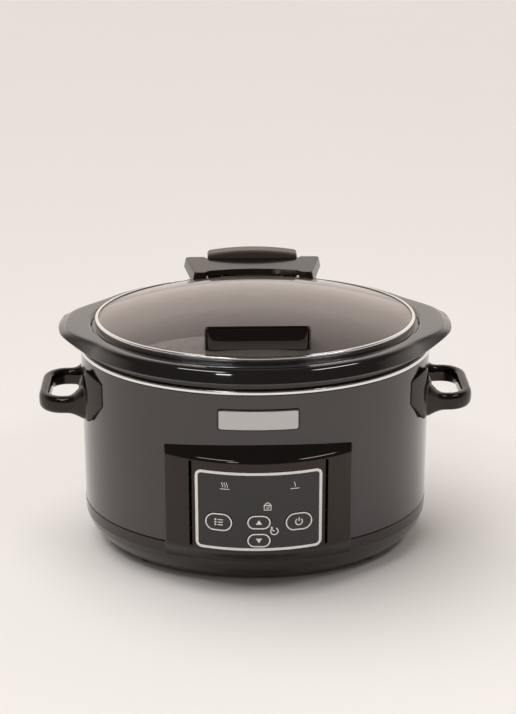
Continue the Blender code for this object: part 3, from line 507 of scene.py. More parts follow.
# -------------------------------------------------------------- base, shell
class COOKER_OT_base(bpy.types.Operator):
    """Moulded base with its cover, feet, foot screws and cord bush"""
    bl_idname = "cooker.base"
    bl_label = "Base and Feet"

    def execute(self, context):
        outer = [(-19.5, 4.9, 0.4), (-16.6, 4.9, 2.5), (-9.8, 11.2, 7.0), (-3.0, 20.2, 7.0),
                 (-0.35, 28.4, 0.9), (0.05, 29.4, 0.7), (0.35, 39.9, 0.8), (-0.6, 40.4, 0.4)]
        spigot = [(-1.4, 40.4, 0), (-1.4, 48.0, 0.4), (-3.6, 48.0, 0.4)]
        inner = [(-3.6, 29.0, 3.0), (-7.4, 20.4, 3.0), (-13.6, 12.4, 3.0), (-20.5, 8.6, 2.0)]
        flange = [(-38.0, 8.6, 0.5), (-38.0, 6.6, 0.5), (-19.5, 6.6, 0.3)]
        base = hoop("base_skirt", rounded(outer + spigot + inner + flange), "satin_plastic", "base",
                    "base_plastic", ("base_housing",))
        spots = [spot for _, spot in foot_spots()]
        carve(base, [helper_rod("boss", 5.5, (*spot, 7.5), (*spot, 20.0)) for spot in spots], "UNION")
        holes = [helper_rod("hole", FOOT_HOLE, (*spot, 0.0), (*spot, 18.0)) for spot in spots]
        holes.append(helper_rod("gland_way", 4.9, (0, 112, CORD_Z), (0, 130, CORD_Z)))
        carve(base, holes)
        self.cover(spots)
        self.feet()
        bush = [(3.2, 3.0, 0.6), (6.0, 3.0, 0.6), (6.4, 2.4, 0.4), (6.4, 0.4, 0.3), (4.6, 0.4, 0),
                (4.6, -6.0, 0.3), (3.2, -6.0, 0.3)]
        turned("cord_bush", rounded(bush, 3), (0.0, half_axes(0.0)[1], CORD_Z), (0, 1, 0), "dark_plastic",
               "base", "dark_plastic", ("cord_gland",))
        return {"FINISHED"}

    def cover(self, spots):
        profile = [(-40.0, 5.0), (-20.2, 5.0), (-20.0, 5.25), (-20.0, 6.05), (-20.2, 6.3)]
        cover = cup("bottom_plate", profile, "cover_steel", "base", "cover_steel", ("bottom_cover",))
        holes = [helper_rod("hole", FOOT_HOLE, (*spot, 0.0), (*spot, 9.0)) for spot in spots]
        for row in range(-3, 4):
            for side in (-1, 1):
                x, y = side * 34.0, row * 9.0
                holes.append(helper_box("vent", (x - 16, y - 1.4, 3.0), (x + 16, y + 1.4, 9.0)))
        carve(cover, holes)

    def feet(self):
        pad = rounded([(2.4, 4.7, 0), (9.0, 4.7, 0.4), (8.3, 0.0, 0.8), (4.7, 0.0, 0.5), (4.6, 2.6, 0),
                       (2.4, 2.6, 0)], 3)
        shank = [(0.01, 17.0), (1.6, 17.0), (2.0, 16.0), (2.0, 2.2), (4.0, 2.2), (4.0, 1.2), (3.4, 0.6),
                 (0.01, 0.6)]
        for word, spot in foot_spots():
            where = (*spot, 0.0)
            turned("pad_" + word, pad, where, (0, 0, 1), "rubber", "base", "foot_rubber", ("foot_" + word,))
            turned("pad_screw_" + word, shank, where, (0, 0, 1), "screw_steel", "base", "plated_steel",
                   ("foot_screw_" + word,), count=24)


def foot_spots():
    """Word and (x, y) of each foot, read from the frame."""
    for word in ("front_left", "front_right", "rear_left", "rear_right"):
        low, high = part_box("foot_" + word)
        x, y = (low[0] + high[0]) / 2.0, (low[1] + high[1]) / 2.0
        yield word, (x / MM, (y - CENTRE_Y) / MM)


class COOKER_OT_shell(bpy.types.Operator):
    """Painted outer shell and the bright trim at its top"""
    bl_idname = "cooker.shell"
    bl_label = "Shell and Trim"

    def execute(self, context):
        seam, top = sizes().seam / MM, sizes().shell_top / MM
        corners = [(0.0, seam, 0.35), (0.0, top, 0.8), (-9.0, top, 0.3), (-9.0, top - 1.0, 0.3),
                   (-1.0, top - 1.0, 0.4), (-1.0, seam, 0.35)]
        hoop("painted_shell", rounded(corners), "shell_paint", "base", "shell_paint", ("outer_shell",),
             count=320)
        trim = [(0.7, 184.0, 0.5), (0.9, 186.5, 1.0), (-0.3, 187.6, 0.9), (-2.0, 187.5, 0.3),
                (-2.2, 183.9, 0.3), (-0.3, 183.9, 0.3)]
        hoop("bright_trim", rounded(trim, 4), "bright_steel", "base", "trim_bright", ("trim_ring",),
             count=320)
        return {"FINISHED"}


class COOKER_OT_liner(bpy.types.Operator):
    """Heating well that the crock stands in"""
    bl_idname = "cooker.liner"
    bl_label = "Heating Well"

    def execute(self, context):
        inside = [(-90.0, 62.5, 0), (-31.0, 62.5, 4.0), (-24.0, 68.0, 4.0), (-18.4, 88.0, 8.0),
                  (-16.4, 186.0, 3.0), (-16.4, 193.9, 1.2)]
        collar = [(-2.6, 193.9, 1.4), (-2.6, 183.9, 0.3), (-3.6, 183.9, 0.3), (-3.6, 192.9, 0.6)]
        outside = [(-15.4, 192.9, 0.6), (-15.4, 186.0, 2.0), (-17.4, 88.2, 6.0), (-23.1, 67.6, 3.0),
                   (-30.5, 61.4, 3.0), (-90.0, 61.4, 0)]
        well = cup("heating_well", rounded(inside + collar + outside), "liner_steel", "base", "liner_metal",
                   ("heating_liner",))
        a, b = half_axes(-4.2)
        # The outside of the collar takes black plastic as painted shade in the gap under the crock's rim.
        paint_faces(well, "satin_plastic", lambda x, y, z: z > 183.0 and math.hypot(x / a, y / b) > 1.0)
        return {"FINISHED"}


# -------------------------------------------------------------------- crock
class COOKER_OT_crock(bpy.types.Operator):
    """Glazed crock with a sloped rim and two broad ears"""
    bl_idname = "cooker.crock"
    bl_label = "Crock"

    def execute(self, context):
        ear_flat, ear_end, rise = 24.0, 64.0, 8.6
        outside = [(-90.0, 64.5, 0), (-36.0, 64.5, 4.0), (-27.5, 69.5, 5.0), (-21.0, 90.0, 12.0),
                   (-18.6, 190.0, 3.0), (-18.6, 194.2, 0.5)]
        rim = [(5.4, 194.3, 0.6), (6.9, 195.6, 1.3), (2.3, 205.2, 2.8), (-0.6, 206.95, 2.6),
               (-7.8, 207.0, 1.0), (-9.2, 206.2, 1.0), (-11.0, 203.5, 0.8), (-20.0, 203.5, 1.6)]
        inside = [(-23.0, 200.0, 1.6), (-24.2, 195.0, 3.0), (-27.5, 92.0, 14.0), (-33.0, 76.0, 7.0),
                  (-46.0, 71.5, 8.0), (-90.0, 71.2, 0)]
        rows = []
        for o, z in rounded(outside + rim + inside, 6):
            share, lift = self.ear_shares(o, z)
            ring = []
            for angle in turn_angles(360):
                x, y, height = oval_point(o, angle, z)
                reach = smooth_step((ear_end - abs(y)) / (ear_end - ear_flat))
                push = math.copysign(sizes().ear_reach / MM * reach * share, x)
                ring.append((x + push, y, height + rise * reach * lift))
            rows.append(ring)
        skin("stoneware_crock", rows, "glaze", "crock", "stoneware", ("crock",), sharp=60.0)
        return {"FINISHED"}

    def ear_shares(self, offset, height):
        """How far a point of the rim follows the ears, outwards and upwards."""
        underside, slope_top, slope_height = 194.4, 205.2, 10.9
        out = smooth_step((offset + 7.6) / 7.2)
        if height < underside:
            out = min(1.0, max(0.0, (offset + 18.6) / 24.0))
        return out, out * min(1.0, max(0.0, (slope_top - height) / slope_height))


# ---------------------------------------------------------------------- lid
def dome_height(share, lift=0.0):
    """Height of the glass at a share of the way from its middle to its edge."""
    return sizes().dome_edge / MM + sizes().dome_rise / MM * (1.0 - share ** 2) + lift


def dome_at(x, y):
    """Height of the top of the glass over a place on it."""
    a, b = half_axes(LID_OFFSET)
    return dome_height(math.hypot(x / a, y / b))


def dome_helper(name, lift=0.35):
    """Everything under the dome, raised by a small clearance."""
    rows = [level_ring(LID_OFFSET, 175.0, count=96)]
    for share in (1.0, 0.95, 0.9, 0.84, 0.78, 0.7, 0.6, 0.45, 0.3, 0.12):
        rows.append(level_ring(LID_OFFSET, dome_height(share, lift), share, count=96))
    return helper_skin(name, rows)


LID_SCREWS = {
    "lid_handle_screw_left": (-GRIP_SCREW_X, GRIP_SCREW_Y),
    "lid_handle_screw_right": (GRIP_SCREW_X, GRIP_SCREW_Y),
    "bracket_screw_left": (-BRACKET_SCREW_X, BRACKET_SCREW_Y),
    "bracket_screw_right": (BRACKET_SCREW_X, BRACKET_SCREW_Y)}


class COOKER_OT_lid(bpy.types.Operator):
    """Domed glass, its steel band and the screws through it"""
    bl_idname = "cooker.lid"
    bl_label = "Glass Lid"

    def execute(self, context):
        thick = sizes().glass / MM
        shares = [1.0 - 0.94 * (k / 22.0) ** 1.2 for k in range(23)]
        under = [level_ring(LID_OFFSET, dome_height(s, -thick), s * 0.994) for s in reversed(shares)]
        edge = [level_ring(LID_OFFSET, dome_height(1.0, -thick / 2.0), 1.001)]
        upper = [level_ring(LID_OFFSET, dome_height(s), s) for s in shares]
        glass = skin("dome_glass", under + edge + upper, "lid_glass", "lid", "lid_glass", ("lid_glass",),
                     sharp=60.0)
        carve(glass, [helper_rod("bore_" + name, 3.0, (x, y, 190), (x, y, 240))
                      for name, (x, y) in LID_SCREWS.items()])
        band = [(-13.5, 203.9, 0.5), (-13.5, 211.4, 0.9), (-14.4, 212.1, 0.9), (-16.4, 212.1, 0.3),
                (-16.4, 211.4, 0.2), (-14.7, 211.2, 0.2), (-14.7, 206.1, 0.3), (-18.5, 206.1, 0.3),
                (-18.5, 203.9, 0.3)]
        hoop("lid_band", rounded(band, 4), "bright_steel", "lid", "rim_steel", ("lid_rim",), count=320)
        for name, (x, y) in LID_SCREWS.items():
            self.screw(name, x, y, dome_at(x, y) - thick - 2.2)
        return {"FINISHED"}

    def screw(self, name, x, y, seat):
        """Pan-head screw that goes up through the glass from its seat."""
        top = seat + (9.5 if name.startswith("bracket") else 13.0)
        shape = [(0.01, top), (1.5, top), (1.8, top - 0.6), (1.8, seat), (4.0, seat), (4.0, seat - 1.2),
                 (3.1, seat - 2.4), (1.4, seat - 2.4), (1.4, seat - 1.4), (0.01, seat - 1.4)]
        turned("shown_" + name, shape, (x, y, 0.0), (0, 0, 1), "dark_screw", "lid", "plated_steel", (name,),
               count=28)


class COOKER_OT_lid_handle(bpy.types.Operator):
    """Bar handle on the front of the glass"""
    bl_idname = "cooker.lid_handle"
    bl_label = "Lid Handle"

    def execute(self, context):
        half = sizes().lid_handle / MM
        rows = []
        for x, inset in bar_stations(half, 3.4, 12, 60):
            low = dome_at(x, -95.0) - 4.0
            top = 235.0 - inset
            face = [(self.face(x, z, half, top), z) for z in spaced(low, top - 0.9, 30)]
            back = [(-96.6, top, 0.5), (-94.0, top - 0.5, 1.5), (-83.4, top - 4.6, 1.8), (-82.6, 226.0, 2.5),
                    (-85.0, low, 0)]
            rows.append([(x, y, z) for y, z in face + rounded(back, 4)])
        handle = skin("lid_grip", rows, "gloss_plastic", "lid", "gloss_black", ("lid_handle",))
        cuts = [dome_helper("dome_under_grip")]
        for x in (-GRIP_SCREW_X, GRIP_SCREW_X):
            low, high = (x, GRIP_SCREW_Y, 200), (x, GRIP_SCREW_Y, 227.5)
            cuts.append(helper_rod("grip_bore", SCREW_BORE, low, high))
        carve(handle, cuts)
        return {"FINISHED"}

    def face(self, x, z, half, top):
        """Y of the bar's front: a soft pillow set in a thin lip that runs up its sides and over it."""
        lip, corner = 1.5, 3.0
        across, up = abs(x) - (half - lip - corner), z - (top - lip - corner)
        inside = corner - math.hypot(max(across, 0.0), max(up, 0.0)) - min(max(across, up), 0.0)
        if inside < 0.0:
            return -97.5
        groove = math.exp(-(inside / 0.5) ** 2)
        lean = 0.17 * (232.0 - z) + 0.009 * (232.0 - z) * (z - 214.0)
        return -96.3 - max(0.0, lean) * (1.0 - math.exp(-inside / 2.0)) + 0.6 * groove


# ------------------------------------------------------------------- hinge
class COOKER_OT_hinge(bpy.types.Operator):
    """Bracket on the glass, hinge block, pin and the tower on the shell"""
    bl_idname = "cooker.hinge"
    bl_label = "Hinge"

    def execute(self, context):
        self.bracket()
        self.block()
        self.tower()
        return {"FINISHED"}

    def bracket(self):
        """Plate on two feet: its outline flares out below its top edge."""
        right = rounded([(0.0, 99.0, 0), (22.0, 97.6, 6.0), (43.0, 93.2, 2.0), (46.5, 88.0, 2.5),
                         (55.5, 88.0, 2.5), (64.5, 137.0, 1.2), (62.0, 138.5, 0.8), (48.0, 138.5, 1.2),
                         (44.5, 133.7, 1.0), (0.0, 133.7, 0)])
        outline = right + [(-x, y) for x, y in reversed(right) if x > 0.0]
        levels = [(212.7, -1.8), (221.1, 0.0), (221.8, 0.25), (222.2, 0.7), (222.3, 1.1)]
        middle_y = 118.0
        rows = []
        for z, inset in levels:
            rows.append([(x - inset * np.sign(x), y - inset * np.sign(y - middle_y), z) for x, y in outline])
        plate = skin("hinge_bracket", rows, "soft_plastic", "lid", "gloss_black", ("lid_bracket",))
        cuts = [helper_box("arch", (-44.0, 80.0, 200.0), (44.0, 130.0, 217.3)),
                dome_helper("dome_under_bracket")]
        for x in (-BRACKET_SCREW_X, BRACKET_SCREW_X):
            low, high = (x, BRACKET_SCREW_Y, 200), (x, BRACKET_SCREW_Y, 220.5)
            cuts.append(helper_rod("bracket_bore", SCREW_BORE, low, high))
        carve(plate, cuts)

    def block(self):
        """Arched slab with the knuckle that turns on the pin, and the pin."""
        half = sizes().hinge / MM
        knuckle_half = EAR_GAP_HALF - 0.5
        rows = []
        for x, inset in bar_stations(half, 2.6, 6, 16):
            arched = 229.5 - 3.7 * (x / half) ** 2 - inset
            front, back = 134.0 + inset * 0.4, 152.0 - inset * 0.4
            side = [(front, 218.2, 0.6), (front, arched, 2.6), (back, arched - 0.5, 3.6), (back, 218.2, 1.5)]
            rows.append([(x, y, z) for y, z in rounded(side)])
        # The slab takes the lighter plastic, whose colour is painted light.
        block = skin("hinge_slab", rows, "matt_plastic", "lid", "gloss_black", ("hinge_block",))
        low, high = (-knuckle_half, HINGE_Y - 5.0, HINGE_Z), (knuckle_half, HINGE_Y + 5.0, 221.0)
        carve(block, [helper_box("neck", low, high), self.on_pin("knuckle", 7.5, knuckle_half, 48)], "UNION")
        carve(block, [self.on_pin("pin_bore", PIN_BORE, 50.0, 32)])
        pin = rounded([(0.01, 0.0, 0), (2.5, 0.0, 0.4), (2.5, 83.0, 0.4), (0.01, 83.0, 0)], 3)
        turned("steel_pin", pin, (-41.5, HINGE_Y, HINGE_Z), (1, 0, 0), "screw_steel", "hinge_pin",
               "plated_steel", ("hinge_pin",))

    def on_pin(self, name, radius, half, count):
        return helper_rod(name, radius, (-half, HINGE_Y, HINGE_Z), (half, HINGE_Y, HINGE_Z), count)

    def tower(self):
        """Post on the shell, whose two open-topped ears hold the pin."""
        half = sizes().hinge / MM
        side = rounded([(112, 100, 0), (134, 100, 3.0), (146, 110, 5.0), (152, 126, 5.0), (152, 186, 3.0),
                        (147.5, 194, 3.0), (147.5, 215.8, 2.0), (138.5, 215.8, 2.0), (138.5, 203.5, 1.0),
                        (133.4, 203.5, 0.8), (133.4, 192, 0.5), (112, 192, 0)], 4)
        rows = []
        for x, inset in bar_stations(half, 3.0, 5, 8):
            rows.append([(x, y - inset * smooth_step((y - 133.4) / 18.6), z) for y, z in side])
        tower = skin("hinge_post", rows, "satin_plastic", "base", "gloss_black", ("hinge_tower",))
        cuts = [helper_skin("body", [level_ring(0.75, z, count=180) for z in (80.0, 200.0)]),
                helper_box("between_ears", (-EAR_GAP_HALF, 128.0, 203.5), (EAR_GAP_HALF, 155.0, 225.0)),
                self.on_pin("pin_seat", PIN_BORE, 50.0, 32),
                helper_box("pin_mouth", (-50, HINGE_Y - PIN_BORE, HINGE_Z), (50, HINGE_Y + PIN_BORE, 225.0))]
        for x in (-TOWER_SCREW_X, TOWER_SCREW_X):
            cuts.append(helper_rod("screw_way", 2.3, (x, 110, TOWER_SCREW_Z), (x, 138.5, TOWER_SCREW_Z)))
        carve(tower, cuts)


# ------------------------------------------------------------ side handles
class COOKER_OT_side_handles(bpy.types.Operator):
    """Loop handles on their faceted escutcheons"""
    bl_idname = "cooker.side_handles"
    bl_label = "Side Handles"

    def execute(self, context):
        for word, side in (("left", -1), ("right", 1)):
            self.handle(word, side)
        return {"FINISHED"}

    def handle(self, word, side):
        body = helper_skin("body", [level_ring(0.3, z) for z in (90.0, 190.0)])
        moulded("loop_handle_" + word, [self.loop(side), self.escutcheon(side)], [body], HANDLE_VOXEL, 5,
                "gloss_plastic", "base", "gloss_black", ("side_handle_" + word,))

    def loop(self, side):
        """Bar that comes out of the shell, round two corners and back, and flares where it is rooted."""
        z0 = sizes().handle_height / MM
        reach, half, corner, bar = 195.0, 40.0, 22.0, 5.0
        path = [(x, bar - half) for x in spaced(146.0, 170.0, 6)]
        path += arc_points(reach - corner, corner - half, corner - bar, -90, 0, 8)
        path += [(x, -y) for x, y in reversed(path)]
        rows = []
        for i, (x, y) in enumerate(path):
            ahead = Vector(path[min(i + 1, len(path) - 1)]) - Vector(path[max(i - 1, 0)])
            normal = Vector((ahead.y, -ahead.x)).normalized()
            flare = smooth_step((170.0 - x) / 20.0)
            ring = []
            for t in turn_angles(32):
                c, s = math.cos(t), math.sin(t)
                across = bar * math.copysign(abs(c) ** 0.7, c)
                up = math.copysign(abs(s) ** 0.7, s) * (7.8 + (14.0 if s > 0 else 5.5) * flare ** 1.6)
                across *= 1.0 + (1.2 if across > 0 else 0.9) * flare
                ring.append((side * (x + normal.x * across), y + normal.y * across, z0 + up))
            rows.append(ring)
        return helper_skin("loop", rows)

    def escutcheon(self, side):
        """Plate on the shell with an upright ridge on each side of a dip, thinning to its ends."""
        half, ridge = 65.0, 46.0
        rows = []
        for y in spaced(-half, half, 130):
            angle = math.asin(y / half_axes(0.0)[1])
            past = max(0.0, (abs(y) - ridge) / (half - ridge))
            dip = smooth_step((ridge - abs(y)) / 18.0)
            low, high = 128.0 + 21.0 * past + 4.5 * dip, 177.5 - 6.5 * past - 29.0 * dip
            proud = 3.2 + 1.4 * min(1.0, abs(y) / ridge) ** 2 - 4.0 * past
            ring = []
            for o, z in ((0.3, low), (proud, low), (proud, high), (0.3, high)):
                px, py, pz = oval_point(o, angle, z)
                ring.append((side * px, py, pz))
            rows.append(ring)
        return helper_skin("escutcheon", rows)


# ------------------------------------------------------------ control panel
# Each key's place across the face and up it, and its width and height.
KEYS = {"menu": (-34.2, 72.0, 24.3, 17.0), "power": (34.2, 72.0, 24.3, 17.0),
        "up": (0.0, 73.0, 20.6, 13.5), "down": (0.0, 56.0, 20.6, 13.5)}
LENS_HALF, LENS_LOW, LENS_HIGH, LENS_CUT = 54.2, 46.0, 119.0, 8.0


def face_y(x):
    """Front of the control panel's bowed face."""
    radius = sizes().face_radius / MM
    return -140.0 + radius - math.sqrt(radius ** 2 - x ** 2)


def on_face(x, z, proud):
    """Point that stands proud of the bowed face."""
    lean = math.asin(x / (sizes().face_radius / MM))
    return (x + math.sin(lean) * proud, face_y(x) - math.cos(lean) * proud, z)


def on_key(word, u, v, proud):
    """Point on a key's own flat front, u to its right and v up."""
    x, z, _, _ = KEYS[word]
    lean = math.asin(x / (sizes().face_radius / MM))
    return (x + math.cos(lean) * u + math.sin(lean) * proud,
            face_y(x) + math.sin(lean) * u - math.cos(lean) * proud,
            z + v)


def body_y(x, offset):
    """Front of the body's oval at x."""
    a, b = half_axes(offset)
    return -b * math.sqrt(1.0 - (x / a) ** 2)


def pill(width, height, grow=0.0, steps=14):
    """Round-ended outline about its own middle."""
    radius, reach = height / 2.0 + grow, (width - height) / 2.0
    return arc_points(reach, 0.0, radius, -90, 90, steps) + arc_points(-reach, 0.0, radius, 90, 270, steps)


def frame_outline(grow, cut, per_side=16):
    """Round-cornered outline of the fascia, with points along its long sides."""
    w, low, high = LENS_HALF + grow - cut, LENS_LOW - grow, LENS_HIGH + grow
    outline = [(x, low) for x in spaced(-w, w, per_side)]
    outline += arc_points(w, low + cut, cut, -90, 0, 7)[1:]
    outline += arc_points(w, high - cut, cut, 0, 90, 7)[1:]
    outline += [(x, high) for x in spaced(w, -w, per_side)[1:]]
    outline += arc_points(-w, high - cut, cut, 90, 180, 7)[1:]
    return outline + arc_points(-w, low + cut, cut, 180, 270, 7)[1:-1]


def plate_grid(low_proud, high_proud, grow):
    """Rows of a bowed fascia plate between two depths."""
    low, high = LENS_LOW - grow, LENS_HIGH + grow
    rows = []
    for x, drop in plate_stations(LENS_HALF + grow, LENS_CUT + grow, 11.25, 7, 24):
        rows.append([on_face(x, low + drop, high_proud), on_face(x, high - drop, high_proud),
                     on_face(x, high - drop, low_proud), on_face(x, low + drop, low_proud)])
    return rows


def key_helper(word, grow, low_proud, high_proud):
    """Straight plug of a key's outline, grown by a gap."""
    width, height = KEYS[word][2:]
    outline = pill(width, height, grow)
    rows = [[on_key(word, u, v, depth) for u, v in outline] for depth in (low_proud, high_proud)]
    return helper_skin("key_" + word, rows)


class COOKER_OT_panel(bpy.types.Operator):
    """Bowed panel housing with its vents, the fascia and the four keys"""
    bl_idname = "cooker.panel"
    bl_label = "Control Panel"

    def execute(self, context):
        self.housing()
        lens = skin("fascia", plate_grid(-1.2, 0.0, 0.0), "fascia_gloss", "base", "lens_black",
                    ("panel_lens",))
        carve(lens, [key_helper(word, 0.3, -6.0, 6.0) for word in KEYS])
        for word in KEYS:
            self.key(word)
        return {"FINISHED"}

    def housing(self):
        """Bowed housing: a sloped cap over its face, and a foot that sweeps back into the body."""
        half = sizes().panel / MM
        face_low, foot_low = 47.0, 28.5
        rows = []
        for x, inset in bar_stations(half, 1.6, 6, 54):
            front, back = face_y(x) + inset, body_y(x, 0.5)
            top = 138.6 - 5.6 * (x / half) ** 2
            cap = rounded([(back, foot_low + 0.5, 0), (back, top - 0.3 - inset * 0.5, 0.4),
                           (front + 1.6, 129.3 - inset * 0.5, 1.2), (front, 127.0 - inset * 0.5, 1.4)])[1:]
            sweep = []
            for t in spaced(0.0, 1.0, 14):
                y = front + (back - front) * smooth_step(t) ** 1.15
                sweep.append((y, face_low - (face_low - foot_low) * t))
            rows.append([(x, y, z) for y, z in cap + sweep + [(back, foot_low + 0.2)]])
        panel = skin("panel_housing", rows, "gloss_plastic", "base", "panel_plastic", ("control_panel",),
                     sharp=40.0)
        carve(panel, [helper_skin("recess", plate_grid(-3.2, 2.0, 0.25))] + self.vents(-1) + self.vents(1))
        # The channels and slots take the near-black finish as painted shade.
        paint_faces(panel, "vent_black", self.in_slot)

    def vents(self, side):
        """Cuts for the shallow channel beside the fascia and the five deep slots in it."""
        left, right = side * SLOT_X - SLOT_HALF, side * SLOT_X + SLOT_HALF
        channel_back = face_y(SLOT_X) + 1.4
        cuts = [helper_box("channel", (left, -150.0, SLOT_LOW), (right, channel_back, SLOT_HIGH))]
        for low in spaced(SLOT_LOW, 109.9, 4):
            cuts.append(helper_box("vent", (left, -150.0, low), (right, -119.0, low + 14.9)))
        return cuts

    def in_slot(self, x, y, z):
        """Whether a place lies inside the channels or the slots."""
        beside = abs(abs(x) - SLOT_X) < SLOT_HALF + 0.4
        return beside and SLOT_LOW - 0.4 < z < SLOT_HIGH + 0.4 and y > face_y(x) + 0.1

    def key(self, word):
        width, height = KEYS[word][2:]
        levels = [(-3.6, 0.0), (0.0, 0.0), (0.25, 0.08), (0.38, 0.25), (0.4, 0.5)]
        rows = []
        for depth, inset in levels:
            rows.append([on_key(word, u, v, depth) for u, v in pill(width, height, -inset)])
        skin("key_" + word, rows, "fascia_gloss", "button_" + word, "lens_black", ("button_" + word,))


# ------------------------------------------------------------------- prints
def stroke(points, width, closed=False):
    """Pairs of left and right points along a pen line."""
    pairs = []
    count = len(points)
    for i, point in enumerate(points):
        here = Vector(point)
        before = Vector(points[i - 1]) if closed or i else here
        after = Vector(points[(i + 1) % count]) if closed or i < count - 1 else here
        along = (after - before).normalized()
        side = Vector((-along.y, along.x)) * width / 2.0
        pairs.append(((here.x + side.x, here.y + side.y), (here.x - side.x, here.y - side.y)))
    return pairs


def wave(x, low, high, swing):
    """Upright wavy line of rising steam."""
    return [(x + swing * math.sin(math.tau * t), low + (high - low) * t) for t in spaced(0.0, 1.0, 12)]


class Marks:
    """Raised print: strokes and filled shapes, placed by a function of across, up and proud."""

    def __init__(self, place, low, high):
        self.place, self.low, self.high = place, low, high
        self.points, self.faces = [], []

    def line(self, points, width, closed=False):
        rows = []
        for left, right in stroke(points, width, closed):
            rows.append([self.place(*left, self.high), self.place(*right, self.high),
                         self.place(*right, self.low), self.place(*left, self.low)])
        self.add(rows, closed)

    def fill(self, outline):
        self.add([[self.place(u, v, depth) for u, v in outline] for depth in (self.low, self.high)], False)

    def add(self, rows, ring):
        start = len(self.points)
        self.points += [point for row in rows for point in row]
        self.faces += [tuple(start + i for i in face) for face in skin_faces(len(rows), len(rows[0]), ring)]

    def finish(self, name, body):
        return piece(name, self.points, self.faces, "print_ink", body, None, weighted=False)


class COOKER_OT_prints(bpy.types.Operator):
    """Printed frame, key outlines and generic heat, timer and key symbols"""
    bl_idname = "cooker.prints"
    bl_label = "Printed Marks"

    def execute(self, context):
        wide = sizes().frame_line / MM
        marks = Marks(on_face, 0.02, 0.10)
        marks.line(frame_outline(-wide / 2.0, 4.4), wide, True)
        self.heat(marks, -29.0, 3)
        self.heat(marks, 30.6, 1)
        self.pot(marks, 7.4, 87.5)
        self.timer(marks, 13.2, 64.3)
        marks.finish("fascia_marks", "base")
        for word in KEYS:
            self.key_marks(word)
        return {"FINISHED"}

    def heat(self, marks, x, waves):
        marks.line([(x - 3.9, 103.2), (x + 3.9, 103.2)], 0.6)
        for k in range(waves):
            marks.line(wave(x + (k - (waves - 1) / 2.0) * 2.0, 104.8, 109.4, 0.5), 0.55)

    def pot(self, marks, x, z):
        marks.line([(x - 2.9, z + 1.2), (x - 2.9, z - 3.0), (x + 2.9, z - 3.0), (x + 2.9, z + 1.2)], 0.8)
        marks.line([(x - 3.4, z + 1.4), (x + 3.4, z + 1.4)], 0.8)
        marks.line(arc_points(x, z + 1.4, 2.3, 15, 165, 10), 0.7)
        marks.line([(x - 1.2, z - 0.6), (x - 0.1, z - 1.7), (x + 1.7, z + 0.6)], 0.7)

    def timer(self, marks, x, z):
        marks.line(arc_points(x, z, 3.2, 118, 422, 26), 0.95)
        marks.line([(x, z), (x - 1.9, z + 1.6)], 0.9)
        marks.fill([(x - 3.2, z + 4.5), (x - 1.0, z + 3.9), (x - 2.7, z + 2.3)])

    def key_marks(self, word):
        width, height = KEYS[word][2:]
        pen = sizes().key_line / MM
        marks = Marks(functools.partial(on_key, word), 0.36, 0.48)
        marks.line(pill(width, height, -pen / 2.0 - 0.35)[:-1], pen, True)
        if word == "up":
            marks.fill([(-2.7, -1.9), (2.7, -1.9), (0.0, 2.4)])
        elif word == "down":
            marks.fill([(-2.7, 1.9), (0.0, -2.4), (2.7, 1.9)])
        elif word == "power":
            marks.line(arc_points(0.0, -0.3, 3.0, 125, 415, 26), 0.9)
            marks.line([(0.0, 0.2), (0.0, 3.6)], 0.9)
        else:
            for row in (-2.4, 0.0, 2.4):
                marks.fill([(-3.6, row - 0.75), (-2.1, row - 0.75), (-2.1, row + 0.75), (-3.6, row + 0.75)])
                marks.line([(-0.9, row), (3.7, row)], 0.8)
        marks.finish("marks_" + word, "button_" + word)


class COOKER_OT_badge(bpy.types.Operator):
    """Plain satin badge plate on a thin dark band of painted shadow round its edge"""
    bl_idname = "cooker.badge"
    bl_label = "Badge"

    def execute(self, context):
        # The dark band under the plate, in black plastic, is painted shadow of the badge's recess.
        self.plate("badge_surround", 0.0, [(0.3, 0.0), (0.95, 0.0), (1.05, 0.15)], "gloss_plastic", ())
        self.plate("badge_face", 1.0, [(0.9, 0.0), (1.25, 0.0), (1.4, 0.3), (1.4, 1.0)], "badge_satin",
                   ("badge_plate",))
        return {"FINISHED"}

    def plate(self, name, inset, levels, material, stands_for):
        """Bent plate in columns, each with its lower levels going out and its upper ones coming back."""
        half, low, high = 35.2 - inset, 151.6 + inset, 170.6 - inset
        rows = []
        for x, drop in plate_stations(half, 2.6, 8, 8, 30):
            share = min(1.0, (half - abs(x)) / 1.2) ** 0.5
            fronts = [(body_y(x, 0.3 + (offset - 0.3) * share), step) for offset, step in levels]
            lower = [(x, y, low + drop + step) for y, step in fronts]
            upper = [(x, y, high - drop - step) for y, step in reversed(fronts)]
            rows.append(lower + upper)
        skin(name, rows, material, "base", "badge_satin", stands_for)


class COOKER_OT_carried(bpy.types.Operator):
    """Better finishes for the inner parts that keep their CAD shape"""
    bl_idname = "cooker.carried"
    bl_label = "Inner Parts"

    def execute(self, context):
        for material, nodes in CARRIED.items():
            for node in nodes:
                for slot in bpy.data.objects[node].material_slots:
                    slot.material = FINISHES[material]
        return {"FINISHED"}


